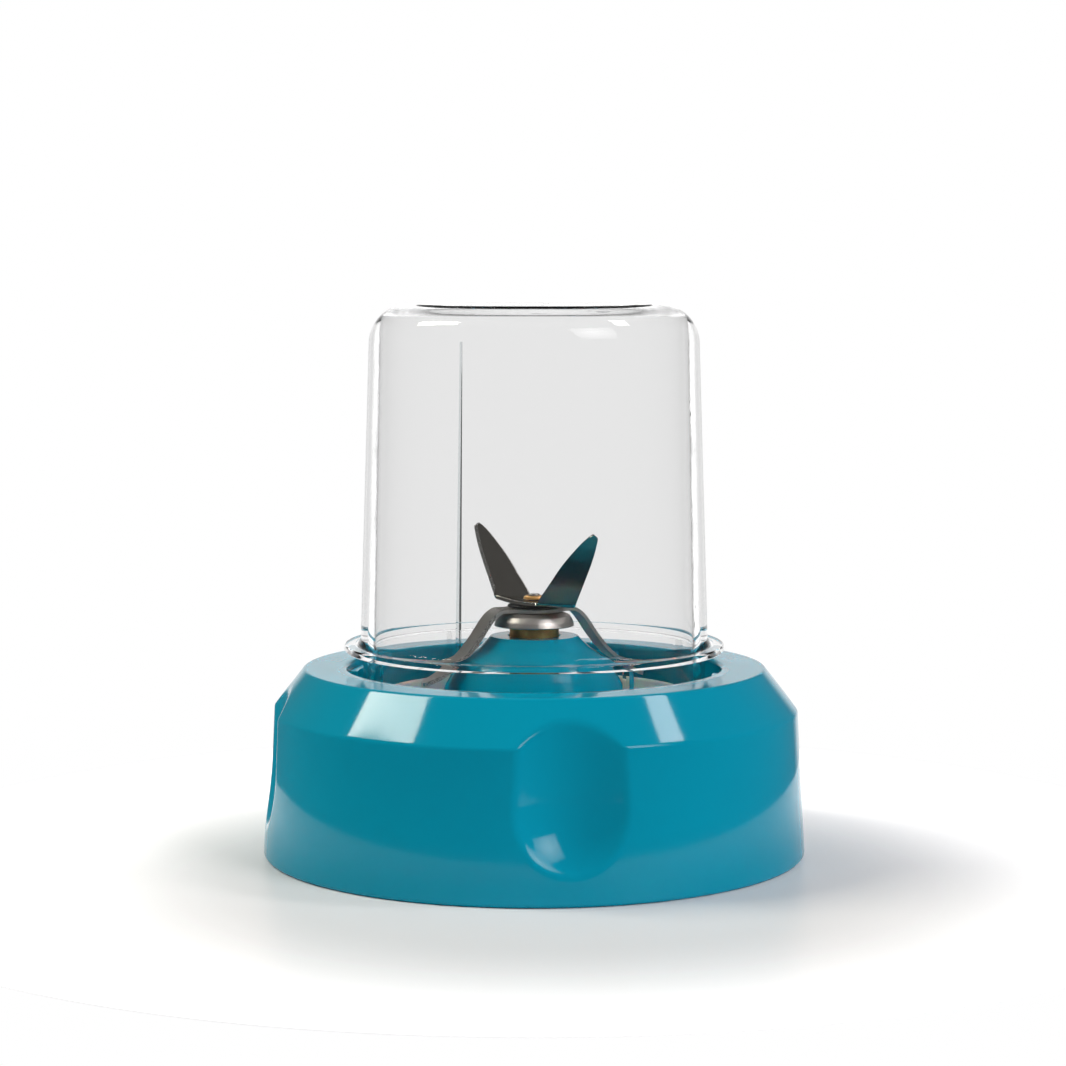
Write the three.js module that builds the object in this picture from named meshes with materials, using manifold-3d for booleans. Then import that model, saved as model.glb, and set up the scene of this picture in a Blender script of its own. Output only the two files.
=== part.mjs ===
// Dry-mill attachment of a countertop blender: a round base with the blade assembly
// standing in it, and a clear cup turned upside down over the blades.
// Units mm, +Z up. The origin is the centre of the base's bottom rim, and one finger
// scallop faces -Y. Pieces that touch in the real object stand a small gap apart here.
import * as THREE from 'three';
import { mergeVertices } from 'three/addons/utils/BufferGeometryUtils.js';
import Module from 'manifold-3d';

const wasm = await Module();
wasm.setup();

// ---------- driving sizes ----------
const GAP = 0.3;            // standing gap between neighbouring pieces
const THIN_GAP = 0.2;       // gap between the thin pieces stacked on the shaft
const DEG = Math.PI / 180;

// base housing
const BASE_R = 63.0;        // bottom rim radius
const BASE_H = 43.2;        // height of the flat top ring
const SHOULDER_H = 9.8;     // height of the sloping shoulder below the ring
const WALL_LEAN = 1.9;      // how far the wall leans in up to the shoulder
const SHOULDER_IN = 9.6;    // from the bottom radius in to the flat top ring
const WALL = 3.0;           // moulded wall
const RIM_EDGE = 0.8;       // edge of the bottom rim
const SCALLOPS = 4;         // finger scallops round the base
const SCALLOP_R = 22.1;     // radius of the scallop trough
const SCALLOP_DEEP = 6.1;   // depth below the bottom radius
const SCALLOP_Z = 21.6;     // centre of the trough's ball end
const SCALLOP_WALL = 2.6;   // wall behind a scallop

// well that takes the cup
const WELL_R = 43.3;
const WELL_FLOOR = 31.0;    // height of the well floor
const WELL_LIP = 1.0;       // edge where the well meets the flat ring

// centre cone and the boss below it
const CONE_UP = 6.5;        // cone top above the flat ring
const CONE_TOP_R = 10.2;
const CONE_FOOT_R = 24.0;   // where the cone runs into the well floor
const BOSS_R = 8.4;
const BOSS_END = 24.0;      // bottom face of the boss tube
const SEAT_DEEP = 5.0;      // counterbore in the cone top for the bearing collar
const RIBS = 8;             // stiffening ribs under the well floor
const RIB_T = 2.0;

// cup
const CUP_LEN = 93.5;       // mouth to closed end
const CUP_R = 40.0;         // body radius just above the flange
const CUP_DRAFT = 2.2;      // body radius lost up to the top corner
const CUP_WALL = 2.4;
const CUP_TOP_WALL = 2.9;
const CORNER_R = 9.3;       // rounding of the top corner
const FLANGE_OUT = 4.0;     // flange beyond the body
const FLANGE_T = 1.65;
const FLANGE_UP = 3.75;     // air between the flat ring and the flange
const SEAL_T = 1.9;         // thickness of the cup seal under the mouth
const NECK_AIR = 3.6;       // air between the neck and the well wall
const LUGS = 4;             // bayonet lugs on the neck
const LUG_SPAN = 20;        // degrees each lug covers
const LUG_H = 2.6;
const LUG_FIRST = -66.6;    // angle of the first lug's stop rib
const LUG_CLEAR = 0.7;      // lug to well wall
const STOP_SPAN = 1.6;      // degrees a stop rib covers
const TWIST = 30;           // degrees the cup turns to lock
const STOP_CLEAR = 2;       // degrees left between a stop rib and its tab
const TAB_SPAN = 28;        // degrees each tab in the well covers
const TAB_CLEAR = 1.5;      // tab to neck
const TAB_DOWN = 1.6;       // tab top below the flat ring
const TAB_H = 3.2;
const SCALE_RIB_AT = 112.6; // angle of the upright rib inside the cup
const SCALE_RIB_W = 1.3;    // its width at the mouth

// bearing and shaft
const SHAFT_R = 2.0;
const NECKED_R = 1.3;       // shaft end that carries the blades
const BUSH_R = 3.4;
const BUSH_LEN = 8.0;
const HOUSING_R = 4.9;      // threaded body of the bearing housing
const COLLAR_R = 5.75;      // collar that shows above the cone
const COLLAR_UP = 2.6;
const GASKET_T = 0.8;
const LOCK_T = 1.0;
const NUT_H = 5.0;
const NUT_FLAT = 8.0;       // half the width across the nut's flats
const THREAD_OUT = 1.6;     // bearing housing below the nut
const WASHER_T = 0.6;
const CLIP_T = 0.7;
const SEAL_LEN = 4.0;

// blades
const CAP_R = 9.35;
const CAP_H = 3.2;
const BLADE_T = 0.9;
const SPACER_R = 6.2;
const SPACER_T = 0.4;
const LOWER_AT = 194.6;     // direction of the lower blade
const LOWER_HUB = 6.6;
const LOWER_HALF = 3.2;     // half width of the lower blade
const LOWER_REACH = 27.5;
const LOWER_DROP = 16.3;    // blade tips below the blade's flat
const UPPER_AT = 64.7;      // direction the wings lean
const UPPER_FOLD = 7.0;     // fold line of a wing from the axis
const UPPER_LEAN = 71.5;    // slope of the wings
const UPPER_LEN = 18.2;     // wing length up the slope
const BLADE_NUT_R = 2.5;
const BLADE_NUT_T = 0.8;

// drive coupling
const COUPLING_R = 11.0;
const COUPLING_Z0 = 4.0;
const COUPLING_H = 8.6;
const TEETH = 6;
const TOOTH_IN = 2.4;       // tooth height
const TOOTH_SPAN = 30;      // degrees each tooth covers
const INSERT_R = 4.4;
const PIN_R = 0.65;

const BIG = 48;             // facets round the base and the cup
const MID = 24;             // round the cone's fittings
const SMALL = 16;           // round the shaft

// ---------- shapes ----------
function solidOf(geometry) {
  const plain = geometry.index ? geometry.toNonIndexed() : geometry.clone();
  plain.deleteAttribute('normal');
  plain.deleteAttribute('uv');
  const merged = mergeVertices(plain, 1e-4);
  return new wasm.Manifold(new wasm.Mesh({
    numProp: 3,
    vertProperties: Float32Array.from(merged.attributes.position.array),
    triVerts: Uint32Array.from(merged.index.array),
  }));
}
function geometryOf(solid) {
  const mesh = solid.getMesh();
  const geometry = new THREE.BufferGeometry();
  const xyz = new Float32Array(mesh.vertProperties);
  geometry.setAttribute('position', new THREE.BufferAttribute(xyz, 3));
  geometry.setIndex(Array.from(mesh.triVerts));
  geometry.computeVertexNormals();
  return geometry;
}
const join = (...parts) => geometryOf(parts.map(solidOf).reduce((a, b) => a.add(b)));
const cut = (base, ...tools) =>
  geometryOf(tools.map(solidOf).reduce((a, b) => a.subtract(b), solidOf(base)));
const common = (a, b) => geometryOf(solidOf(a).intersect(solidOf(b)));
const spin = (geometry, degrees) => geometry.clone().rotateZ(degrees * DEG);

// Turned shape: the profile is a list of [radius, z], either from axis to axis or a loop.
function turned(profile, facets = BIG) {
  const points = profile.map(([r, z]) => new THREE.Vector2(r, z));
  if (THREE.ShapeUtils.area(points) < 0) points.reverse();
  const fromAxis = points[0].x === 0 && points[points.length - 1].x === 0;
  if (!fromAxis) points.push(points[0].clone());
  return new THREE.LatheGeometry(points, facets).rotateX(Math.PI / 2);
}
const ring = (r0, r1, z0, z1, facets = SMALL) =>
  turned([[r0, z0], [r1, z0], [r1, z1], [r0, z1]], facets);
const disc = (r, z0, z1, facets = SMALL) =>
  turned([[0, z0], [r, z0], [r, z1], [0, z1]], facets);
const box = (x0, x1, y0, y1, z0, z1) =>
  new THREE.BoxGeometry(x1 - x0, y1 - y0, z1 - z0)
    .translate((x0 + x1) / 2, (y0 + y1) / 2, (z0 + z1) / 2);
// Round bar along Y through the axis at height z.
const crossBar = (r, length, z) =>
  new THREE.CylinderGeometry(r, r, length, SMALL).translate(0, 0, z);
// Upright prism over a list of [x, y] points.
function prism(points, z0, z1) {
  const shape = new THREE.Shape(points.map(([x, y]) => new THREE.Vector2(x, y)));
  return new THREE.ExtrudeGeometry(shape, { depth: z1 - z0, bevelEnabled: false })
    .translate(0, 0, z0);
}
// Points on a circular arc, angles in degrees.
function arc(cx, cy, r, a0, a1, steps) {
  return Array.from({ length: steps + 1 }, (_, i) => {
    const a = (a0 + (a1 - a0) * i / steps) * DEG;
    return [cx + r * Math.cos(a), cy + r * Math.sin(a)];
  });
}
// Part of a ring between two angles in degrees.
const sector = (r0, r1, a0, a1, z0, z1, steps = 6) =>
  prism([...arc(0, 0, r1, a0, a1, steps), ...arc(0, 0, r0, a1, a0, steps)], z0, z1);
const around = (count, make) =>
  Array.from({ length: count }, (_, i) => make(360 / count * i));

// ---------- the object as a tree of groups ----------
const object = new THREE.Group();
object.name = 'blender_mill_attachment';
const base = new THREE.Group();
const rotor = new THREE.Group();
const cupSide = new THREE.Group();
object.add(base, rotor, cupSide);

const TEAL = { color: 0x0190b2, roughness: 0.3 };
const BRASS = { color: 0xa98442, roughness: 0.35, metalness: 1 };
const BRONZE = { color: 0x8a6a3a, roughness: 0.5, metalness: 1 };
const STEEL = { color: 0x8f9092, roughness: 0.35, metalness: 1 };
const CAP_STEEL = { color: 0x77756f, roughness: 0.35, metalness: 1 };
const BLADE_STEEL = { color: 0xa7a5a0, roughness: 0.25, metalness: 1 };
const BLACK = { color: 0x1d1e20, roughness: 0.55 };
const RUBBER = { color: 0x1c1c1c, roughness: 0.8 };
const ACETAL = { color: 0xd8d4c8, roughness: 0.6 };
const SILICONE = { color: 0xd9dad6, roughness: 0.7 };
const CLEAR = { color: 0xf2f4f4, roughness: 0.08, transparent: true, opacity: 0.3 };

function place(group, name, geometry, look) {
  const mesh = new THREE.Mesh(geometry, new THREE.MeshStandardMaterial(look));
  mesh.name = name;
  group.add(mesh);
  return mesh;
}

// ---------- heights and radii that follow from the sizes ----------
const shoulderZ = BASE_H - SHOULDER_H;
const shoulderR = BASE_R - WALL_LEAN;
const topRingR = BASE_R - SHOULDER_IN;
const coneTop = BASE_H + CONE_UP;
const collarSeat = coneTop - SEAT_DEEP;
const mouthZ = WELL_FLOOR + GAP + SEAL_T + GAP;
const flangeZ = BASE_H + FLANGE_UP;
const neckR = WELL_R - NECK_AIR;
const tabTop = BASE_H - TAB_DOWN;
const tabUnder = tabTop - TAB_H;
const lugTop = tabUnder - 2 * GAP;
const pinZ = COUPLING_Z0 + COUPLING_H / 2;
const bushBore = SHAFT_R + GAP;
const BEYOND = 1;           // how far a cutting shape runs past what it cuts

// ---------- base housing ----------
// Skin of the centre cone from its foot up, drawn in by the given amount.
function coneSkin(inBy) {
  return [
    [CONE_FOOT_R - 0.6 * inBy, WELL_FLOOR - inBy],
    [CONE_FOOT_R - 1.7 - 0.9 * inBy, WELL_FLOOR + 2.6 - 0.6 * inBy],
    [CONE_FOOT_R - 3.4 - inBy, coneTop - 11.3],
    [CONE_FOOT_R - 5.0 - inBy, coneTop - 8.6],
    [CONE_FOOT_R - 6.4 - inBy, coneTop - 6.0],
    [CONE_FOOT_R - 8.4 - inBy, coneTop - 4.6],
    [CONE_TOP_R + 2.6 - 0.9 * inBy, coneTop - 2.7 - 0.5 * inBy],
    [CONE_TOP_R + 0.8 - 0.6 * inBy, coneTop - 0.9 - 0.9 * inBy],
  ];
}
// One scallop: an upright trough with a ball end, running out over the shoulder.
function scallop(grow) {
  const r = SCALLOP_R + grow;
  const ball = arc(0, SCALLOP_Z, r, -90, 0, 6);
  ball[0][0] = 0;
  const runOut = BASE_H + BEYOND;
  return turned([...ball, [r, runOut], [0, runOut]])
    .translate(BASE_R - SCALLOP_DEEP + SCALLOP_R, 0, 0);
}
function baseHousing() {
  const wellBack = WELL_R + WALL;
  const outside = turned([
    [BASE_R - RIM_EDGE, 0], [BASE_R, RIM_EDGE], [shoulderR, shoulderZ], [topRingR, BASE_H],
    [WELL_R + WELL_LIP, BASE_H], [WELL_R + 0.3 * WELL_LIP, BASE_H - 0.3 * WELL_LIP],
    [WELL_R, BASE_H - WELL_LIP], [WELL_R, WELL_FLOOR], ...coneSkin(0),
    [CONE_TOP_R, coneTop], [0, coneTop], [0, 0],
  ]);
  // hollow between the outer wall and the well wall, open below
  const annulus = turned([
    [wellBack, -BEYOND], [BASE_R - WALL, -BEYOND], [shoulderR - WALL, shoulderZ - BEYOND],
    [topRingR - 0.4 * WALL, BASE_H - WALL], [wellBack, BASE_H - WALL],
  ]);
  const behindScallops = around(SCALLOPS, (a) => spin(scallop(SCALLOP_WALL), a));
  // hollow under the well floor and inside the cone; the well wall stops part way down
  const wallStop = WELL_FLOOR - WALL - 14;
  const under = turned([
    [0, -BEYOND], [wellBack + 0.01, -BEYOND], [wellBack + 0.01, wallStop - 2],
    [WELL_R, wallStop], [WELL_R, WELL_FLOOR - WALL], ...coneSkin(WALL),
    [CONE_TOP_R - WALL, collarSeat - 0.6 * WALL], [0, collarSeat - 0.6 * WALL],
  ]);
  const boss = disc(BOSS_R, BOSS_END, collarSeat - 0.3 * WALL, MID);
  const ribZ = BOSS_END + 0.5;
  const ribs = around(RIBS, (a) => spin(
    box(BOSS_R - 1, WELL_R + 1, -RIB_T / 2, RIB_T / 2, ribZ, WELL_FLOOR - WALL + 0.5),
    a + 180 / RIBS));
  const tabFrom = LUG_FIRST - TWIST - STOP_CLEAR - TAB_SPAN;
  const tabs = around(LUGS, (a) => sector(neckR + TAB_CLEAR, WELL_R + 1, a + tabFrom,
    a + tabFrom + TAB_SPAN, tabUnder, tabTop));
  const shell = cut(outside, ...around(SCALLOPS, (a) => spin(scallop(0), a)),
    cut(annulus, ...behindScallops), under);
  return cut(join(shell, boss, ...ribs, ...tabs),
    disc(HOUSING_R + GAP, 0, coneTop + BEYOND, MID),
    disc(COLLAR_R + GAP, collarSeat, coneTop + BEYOND, MID));
}
place(base, 'base_housing', baseHousing(), TEAL);

// ---------- bearing, held in the cone by a nut under the boss ----------
const collarTop = coneTop + COLLAR_UP;
const collarUnder = collarSeat + GAP + GASKET_T + GAP;
const lockZ = BOSS_END - GAP - LOCK_T;
const nutTop = lockZ - GAP;
const housingEnd = nutTop - NUT_H - THREAD_OUT;
const bushInset = 1.0;
place(base, 'bearing_housing', turned([
  [BUSH_R + GAP, housingEnd], [HOUSING_R, housingEnd], [HOUSING_R, collarUnder],
  [COLLAR_R, collarUnder], [COLLAR_R, collarTop - 0.4], [COLLAR_R - 0.4, collarTop],
  [BUSH_R + GAP, collarTop],
], MID), BRASS);
place(base, 'bearing_gasket', ring(HOUSING_R + GAP, COLLAR_R, collarSeat + GAP,
  collarSeat + GAP + GASKET_T, MID), RUBBER);
place(base, 'lock_washer', ring(HOUSING_R + GAP, BOSS_R, lockZ, lockZ + LOCK_T, MID), STEEL);
const hexagon = arc(0, 0, NUT_FLAT / Math.cos(30 * DEG), 30, 330, 5);
place(base, 'bearing_nut', cut(prism(hexagon, nutTop - NUT_H, nutTop),
  disc(HOUSING_R + GAP, 0, coneTop, MID)), BRASS);
const upperBushTop = collarTop - bushInset;
const lowerBushEnd = housingEnd + bushInset;
const sealTop = upperBushTop - BUSH_LEN - bushInset;
place(base, 'upper_bush', ring(bushBore, BUSH_R, upperBushTop - BUSH_LEN, upperBushTop), BRONZE);
place(base, 'lower_bush', ring(bushBore, BUSH_R, lowerBushEnd, lowerBushEnd + BUSH_LEN), BRONZE);
place(base, 'shaft_seal', ring(bushBore, BUSH_R, sealTop - SEAL_LEN, sealTop), RUBBER);
const upperWasherZ = collarTop + THIN_GAP;
const lowerWasherZ = housingEnd - GAP - WASHER_T;
place(base, 'upper_thrust_washer',
  ring(bushBore, BUSH_R, upperWasherZ, upperWasherZ + WASHER_T), ACETAL);
place(base, 'lower_thrust_washer',
  ring(bushBore, HOUSING_R - 0.5, lowerWasherZ, lowerWasherZ + WASHER_T), ACETAL);

// ---------- shaft and what is stacked on it ----------
const clipZ = lowerWasherZ - GAP - CLIP_T;
const grooveR = SHAFT_R - 0.4;
const capZ = collarTop + THIN_GAP;
const capTop = capZ + CAP_H;
const lowerZ = capTop + THIN_GAP;
const spacerZ = lowerZ + BLADE_T + THIN_GAP;
const upperZ = spacerZ + SPACER_T + THIN_GAP;
const bladeNutZ = upperZ + BLADE_T + THIN_GAP;
const shaftTop = bladeNutZ + BLADE_NUT_T + 0.45;
const stepZ = capTop + THIN_GAP / 2;      // step that the lower blade seats on
const shaftEnd = COUPLING_Z0 + 1.2;
const bladeBore = NECKED_R + GAP;
place(rotor, 'shaft', cut(turned([
  [0, shaftEnd], [SHAFT_R - 0.3, shaftEnd], [SHAFT_R, shaftEnd + 0.3],
  [SHAFT_R, clipZ - THIN_GAP], [grooveR, clipZ - THIN_GAP],
  [grooveR, clipZ + CLIP_T + THIN_GAP], [SHAFT_R, clipZ + CLIP_T + THIN_GAP],
  [SHAFT_R, stepZ], [NECKED_R, stepZ], [NECKED_R, shaftTop - 0.25],
  [NECKED_R - 0.35, shaftTop], [0, shaftTop],
], SMALL), crossBar(PIN_R + GAP, 3 * SHAFT_R, pinZ)), STEEL);
const clipMouth = 0.7 * SHAFT_R;
place(rotor, 'retaining_clip', cut(
  ring(grooveR + THIN_GAP, SHAFT_R + 1.6, clipZ, clipZ + CLIP_T),
  box(0, 3 * SHAFT_R, -clipMouth, clipMouth, clipZ - BEYOND, clipZ + CLIP_T + BEYOND)), STEEL);

const hubUnder = upperWasherZ + WASHER_T + THIN_GAP;
const roofUnder = hubUnder + 0.8;
place(rotor, 'bell_cap', turned([
  [CAP_R - 1.0, capZ], [CAP_R, capZ], [CAP_R, capZ + 0.6], [CAP_R - 0.4, capZ + 0.8],
  [CAP_R - 0.5, capTop - 1.2], [CAP_R - 0.9, capTop - 0.45], [CAP_R - 1.7, capTop],
  [SHAFT_R + GAP, capTop], [SHAFT_R + GAP, hubUnder], [BUSH_R, hubUnder],
  [BUSH_R, roofUnder], [CAP_R - 1.9, roofUnder], [CAP_R - 1.3, capZ + 0.8],
], MID), CAP_STEEL);

// ---------- blades ----------
// One arm of a bent strip along +X. Each station is [x, z of the under face, half width].
function arm(stations, thick) {
  const xyz = [];
  stations.forEach(([x, z, half], i) => {
    const before = stations[Math.max(0, i - 1)];
    const after = stations[Math.min(stations.length - 1, i + 1)];
    const run = after[0] - before[0];
    const rise = after[1] - before[1];
    const long = Math.hypot(run, rise);
    const tx = x - rise / long * thick;
    const tz = z + run / long * thick;
    xyz.push(x, -half, z, x, half, z, tx, half, tz, tx, -half, tz);
  });
  const last = 4 * (stations.length - 1);
  const faces = [0, 2, 1, 0, 3, 2, last, last + 1, last + 2, last, last + 2, last + 3];
  for (let from = 0; from < last; from += 4) {
    for (let k = 0; k < 4; k += 1) {
      const a = from + k;
      const b = from + (k + 1) % 4;
      faces.push(a, b, b + 4, a, b + 4, a + 4);
    }
  }
  const geometry = new THREE.BufferGeometry();
  geometry.setAttribute('position', new THREE.Float32BufferAttribute(xyz, 3));
  geometry.setIndex(faces);
  return geometry;
}
function lowerBlade() {
  const down = (share) => lowerZ - LOWER_DROP * share;
  const out = (share) => LOWER_REACH * share;
  const side = arm([
    [0, lowerZ, LOWER_HALF], [out(0.33), lowerZ, LOWER_HALF], [out(0.37), down(0.04), LOWER_HALF],
    [out(0.53), down(0.39), LOWER_HALF], [out(0.63), down(0.59), LOWER_HALF],
    [out(0.75), down(0.75), LOWER_HALF * 0.95], [out(0.865), down(0.88), LOWER_HALF * 0.85],
    [out(0.97), down(0.98), LOWER_HALF * 0.6], [LOWER_REACH, down(1), LOWER_HALF * 0.35],
  ], BLADE_T);
  return cut(join(disc(LOWER_HUB, lowerZ, lowerZ + BLADE_T, MID), side, spin(side, 180)),
    disc(bladeBore, 0, upperZ));
}
place(rotor, 'lower_blade', lowerBlade(), BLADE_STEEL).rotation.z = LOWER_AT * DEG;
place(rotor, 'blade_spacer', ring(bladeBore, SPACER_R, spacerZ, spacerZ + SPACER_T, MID), BLACK);

// Flat centre with two wings folded up along lines beside the axis. A wing has one
// straight edge and one edge that bows out; it leans away from the axis.
function upperBlade() {
  const up = (share) => UPPER_LEN * share;
  const wing = prism([
    [-12.0, 0], [-19.2, up(0.95)], [-18.7, up(0.99)], [-17.8, up(1)], [-16.6, up(0.97)],
    [-13.2, up(0.78)], [-9.6, up(0.55)], [-6.2, up(0.29)], [-2.6, 0],
  ], 0, BLADE_T).rotateX(UPPER_LEAN * DEG);
  const fold = UPPER_FOLD + BLADE_T * Math.sin(UPPER_LEAN * DEG);
  const flat = prism([
    [-12.0, fold], [-10.6, 2.0], [-6.2, -3.2], [0, -6.4], [4.4, -4.6], [6.4, 0],
    [5.2, 3.6], [-2.6, fold],
  ], upperZ, upperZ + BLADE_T);
  const half = join(flat, wing.translate(0, fold, upperZ));
  return cut(join(half, spin(half, 180)), disc(bladeBore, 0, shaftTop));
}
place(rotor, 'upper_blade', upperBlade(), BLADE_STEEL).rotation.z = (UPPER_AT - 90) * DEG;
place(rotor, 'blade_nut', turned([
  [bladeBore, bladeNutZ], [BLADE_NUT_R, bladeNutZ],
  [BLADE_NUT_R, bladeNutZ + 0.55 * BLADE_NUT_T],
  [BLADE_NUT_R - 0.35, bladeNutZ + BLADE_NUT_T], [bladeBore, bladeNutZ + BLADE_NUT_T],
], SMALL), BRASS);

// ---------- drive coupling under the base ----------
const couplingTop = COUPLING_Z0 + COUPLING_H;
place(rotor, 'coupling_insert', cut(
  ring(bushBore, INSERT_R, COUPLING_Z0 + 0.6, couplingTop - 0.4, MID),
  crossBar(PIN_R + GAP, 4 * INSERT_R, pinZ)), STEEL);
const teeth = around(TEETH, (a) => sector(COUPLING_R - TOOTH_IN - 1, COUPLING_R,
  a - TOOTH_SPAN / 2, a + TOOTH_SPAN / 2, COUPLING_Z0, couplingTop - 1.2, 3));
place(rotor, 'drive_coupling', join(
  ring(INSERT_R + GAP, COUPLING_R - TOOTH_IN, COUPLING_Z0, couplingTop, MID), ...teeth), BLACK);
place(rotor, 'coupling_pin', crossBar(PIN_R, 2 * INSERT_R - 0.8, pinZ), STEEL);

// ---------- cup seal and cup ----------
const sealIn = neckR - CUP_WALL - GAP;
place(cupSide, 'cup_seal', turned([
  [sealIn - 1.6, WELL_FLOOR + GAP], [neckR + 0.9, WELL_FLOOR + GAP],
  [neckR + 0.9, mouthZ - GAP], [sealIn, mouthZ - GAP], [sealIn, mouthZ + 2.6],
  [sealIn - 0.6, mouthZ + 3.2], [sealIn - 1.6, mouthZ + 3.2],
]), SILICONE);

function millCup() {
  const cupTop = mouthZ + CUP_LEN;
  const flangeTop = flangeZ + FLANGE_T;
  const flangeR = CUP_R + FLANGE_OUT;
  const topR = CUP_R - CUP_DRAFT;
  const innerTop = cupTop - CUP_TOP_WALL;
  const innerCorner = CORNER_R - CUP_WALL;
  const cornerAt = topR - CORNER_R;
  const body = turned([
    [neckR - CUP_WALL, mouthZ], [neckR - 0.4, mouthZ], [neckR, mouthZ + 0.4],
    [neckR, flangeZ - 0.8], [neckR + 0.8, flangeZ], [flangeR - 0.4, flangeZ],
    [flangeR, flangeZ + 0.4], [flangeR, flangeTop - 0.4], [flangeR - 0.4, flangeTop],
    [CUP_R + 1.4, flangeTop], [CUP_R + 0.3, flangeTop + 1.2], [CUP_R, flangeTop + 3.4],
    ...arc(cornerAt, cupTop - CORNER_R, CORNER_R, 0, 90, 6),
    [0, cupTop], [0, innerTop],
    ...arc(cornerAt, innerTop - innerCorner, innerCorner, 90, 0, 5),
    [CUP_R - CUP_WALL, flangeTop + 2],
  ]);
  // bayonet lugs, each ending in a stop rib that runs up to the flange
  const lugR = WELL_R - LUG_CLEAR;
  const lugs = around(LUGS, (a) => sector(neckR - 1, lugR, a + LUG_FIRST - LUG_SPAN,
    a + LUG_FIRST, lugTop - LUG_H, lugTop));
  const stops = around(LUGS, (a) => sector(neckR - 1, lugR, a + LUG_FIRST - STOP_SPAN,
    a + LUG_FIRST, lugTop - LUG_H, flangeZ + 0.5 * FLANGE_T, 2));
  // one upright rib inside, widening towards the mouth, kept inside the wall's outer half
  const ribTop = cupTop - CORNER_R;
  const ribFoot = mouthZ + 3.2 + GAP + 0.8;
  const half = SCALE_RIB_W / 2;
  const upright = new THREE.Shape([
    new THREE.Vector2(-half, ribFoot), new THREE.Vector2(half, ribFoot),
    new THREE.Vector2(half / 4, ribTop), new THREE.Vector2(-half / 4, ribTop),
  ]);
  const lean = Math.atan2(CUP_DRAFT, CUP_LEN);
  const rib = new THREE.ExtrudeGeometry(upright, { depth: CUP_WALL, bevelEnabled: false })
    .rotateX(Math.PI / 2).rotateZ(Math.PI / 2)
    .translate(neckR - CUP_WALL - 0.9, 0, -mouthZ).rotateY(-lean).translate(0, 0, mouthZ);
  const core = turned([
    [0, mouthZ], [neckR - 0.4 * CUP_WALL, mouthZ],
    [neckR - 0.4 * CUP_WALL, flangeTop], [topR - 0.4 * CUP_WALL, ribTop], [0, ribTop],
  ]);
  return join(body, ...lugs, ...stops, spin(common(rib, core), SCALE_RIB_AT));
}
place(cupSide, 'mill_cup', millCup(), CLEAR);

export default object;
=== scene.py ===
"""Looks of a dry-mill attachment: a teal base, a blade stack and a clear upturned cup.

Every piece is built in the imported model's own frame, in metres, with +Z up. Sizes in
the classes below are millimetres, and `MM` turns them into metres where meshes are made.
"""

import logging
import math
from collections.abc import Callable, Iterable, Sequence
from dataclasses import dataclass
from enum import Enum

import bpy
from mathutils import Matrix, Quaternion, Vector


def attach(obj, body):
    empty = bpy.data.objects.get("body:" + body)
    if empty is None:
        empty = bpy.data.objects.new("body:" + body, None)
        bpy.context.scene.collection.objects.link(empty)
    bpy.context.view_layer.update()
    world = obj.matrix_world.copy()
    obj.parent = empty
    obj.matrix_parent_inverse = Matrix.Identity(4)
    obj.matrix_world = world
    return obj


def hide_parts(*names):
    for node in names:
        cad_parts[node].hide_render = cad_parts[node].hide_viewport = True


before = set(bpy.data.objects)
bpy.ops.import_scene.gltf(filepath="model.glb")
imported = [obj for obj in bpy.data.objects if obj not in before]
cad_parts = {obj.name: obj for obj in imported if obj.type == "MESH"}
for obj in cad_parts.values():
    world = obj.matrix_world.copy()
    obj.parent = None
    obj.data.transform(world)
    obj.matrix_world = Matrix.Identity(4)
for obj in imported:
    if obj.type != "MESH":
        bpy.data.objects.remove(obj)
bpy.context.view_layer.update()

MM = 0.001
TURN = 2.0 * math.pi
COAT_IOR = 1.57             # clear gloss over the cup
COAT_ROUGHNESS = 0.02
Point = tuple[float, float]
log = logging.getLogger("mill")


class Body(Enum):
    """The bodies that pieces ride on."""

    BASE = "base"
    ROTOR = "blade_rotor"
    SEAL = "seal"
    CUP = "cup"


# --------------------------------------------------------------------------- outlines


def fillet(corners: Sequence[tuple[float, float, float]], closed: bool,
           step: float = 12.0, hold: float = 0.18) -> list[Point]:
    """Rounds the corners of an outline and keeps its straight runs flat.

    Args:
        corners: (x, y, radius) of each corner; a radius of 0 leaves it sharp.
        closed: whether the last corner joins the first.
        step: degrees between points on a rounded corner.
        hold: length of the short run left beside each rounding.

    Returns:
        The points of the finished outline.
    """
    count = len(corners)
    points: list[Point] = []
    for i, (x, y, radius) in enumerate(corners):
        ends = not closed and i in (0, count - 1)
        before = Vector(corners[i - 1][:2])
        after = Vector(corners[(i + 1) % count][:2])
        here = Vector((x, y))
        if ends or radius <= 0.0:
            points.append((x, y))
            continue
        to_before, to_after = before - here, after - here
        reach_before, reach_after = to_before.length, to_after.length
        to_before.normalize()
        to_after.normalize()
        inside = to_before.angle(to_after, math.pi)
        sweep = math.pi - inside
        if sweep < math.radians(1.0):
            points.append((x, y))
            continue
        back = min(radius / math.tan(inside / 2.0), 0.46 * reach_before, 0.46 * reach_after)
        radius = back * math.tan(inside / 2.0)
        start, end = here + to_before * back, here + to_after * back
        middle = (to_before + to_after).normalized()
        centre = here + middle * (radius / math.sin(inside / 2.0))
        if reach_before > 2.5 * (back + hold):
            points.append(tuple(start + to_before * hold))
        turns = max(2, math.ceil(math.degrees(sweep) / step))
        first = start - centre
        side = 1.0 if first.x * (end - centre).y - first.y * (end - centre).x > 0 else -1.0
        for k in range(turns + 1):
            angle = side * sweep * k / turns
            cos, sin = math.cos(angle), math.sin(angle)
            points.append((centre.x + first.x * cos - first.y * sin,
                           centre.y + first.x * sin + first.y * cos))
        if reach_after > 2.5 * (back + hold):
            points.append(tuple(end + to_after * hold))
    return points


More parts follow.
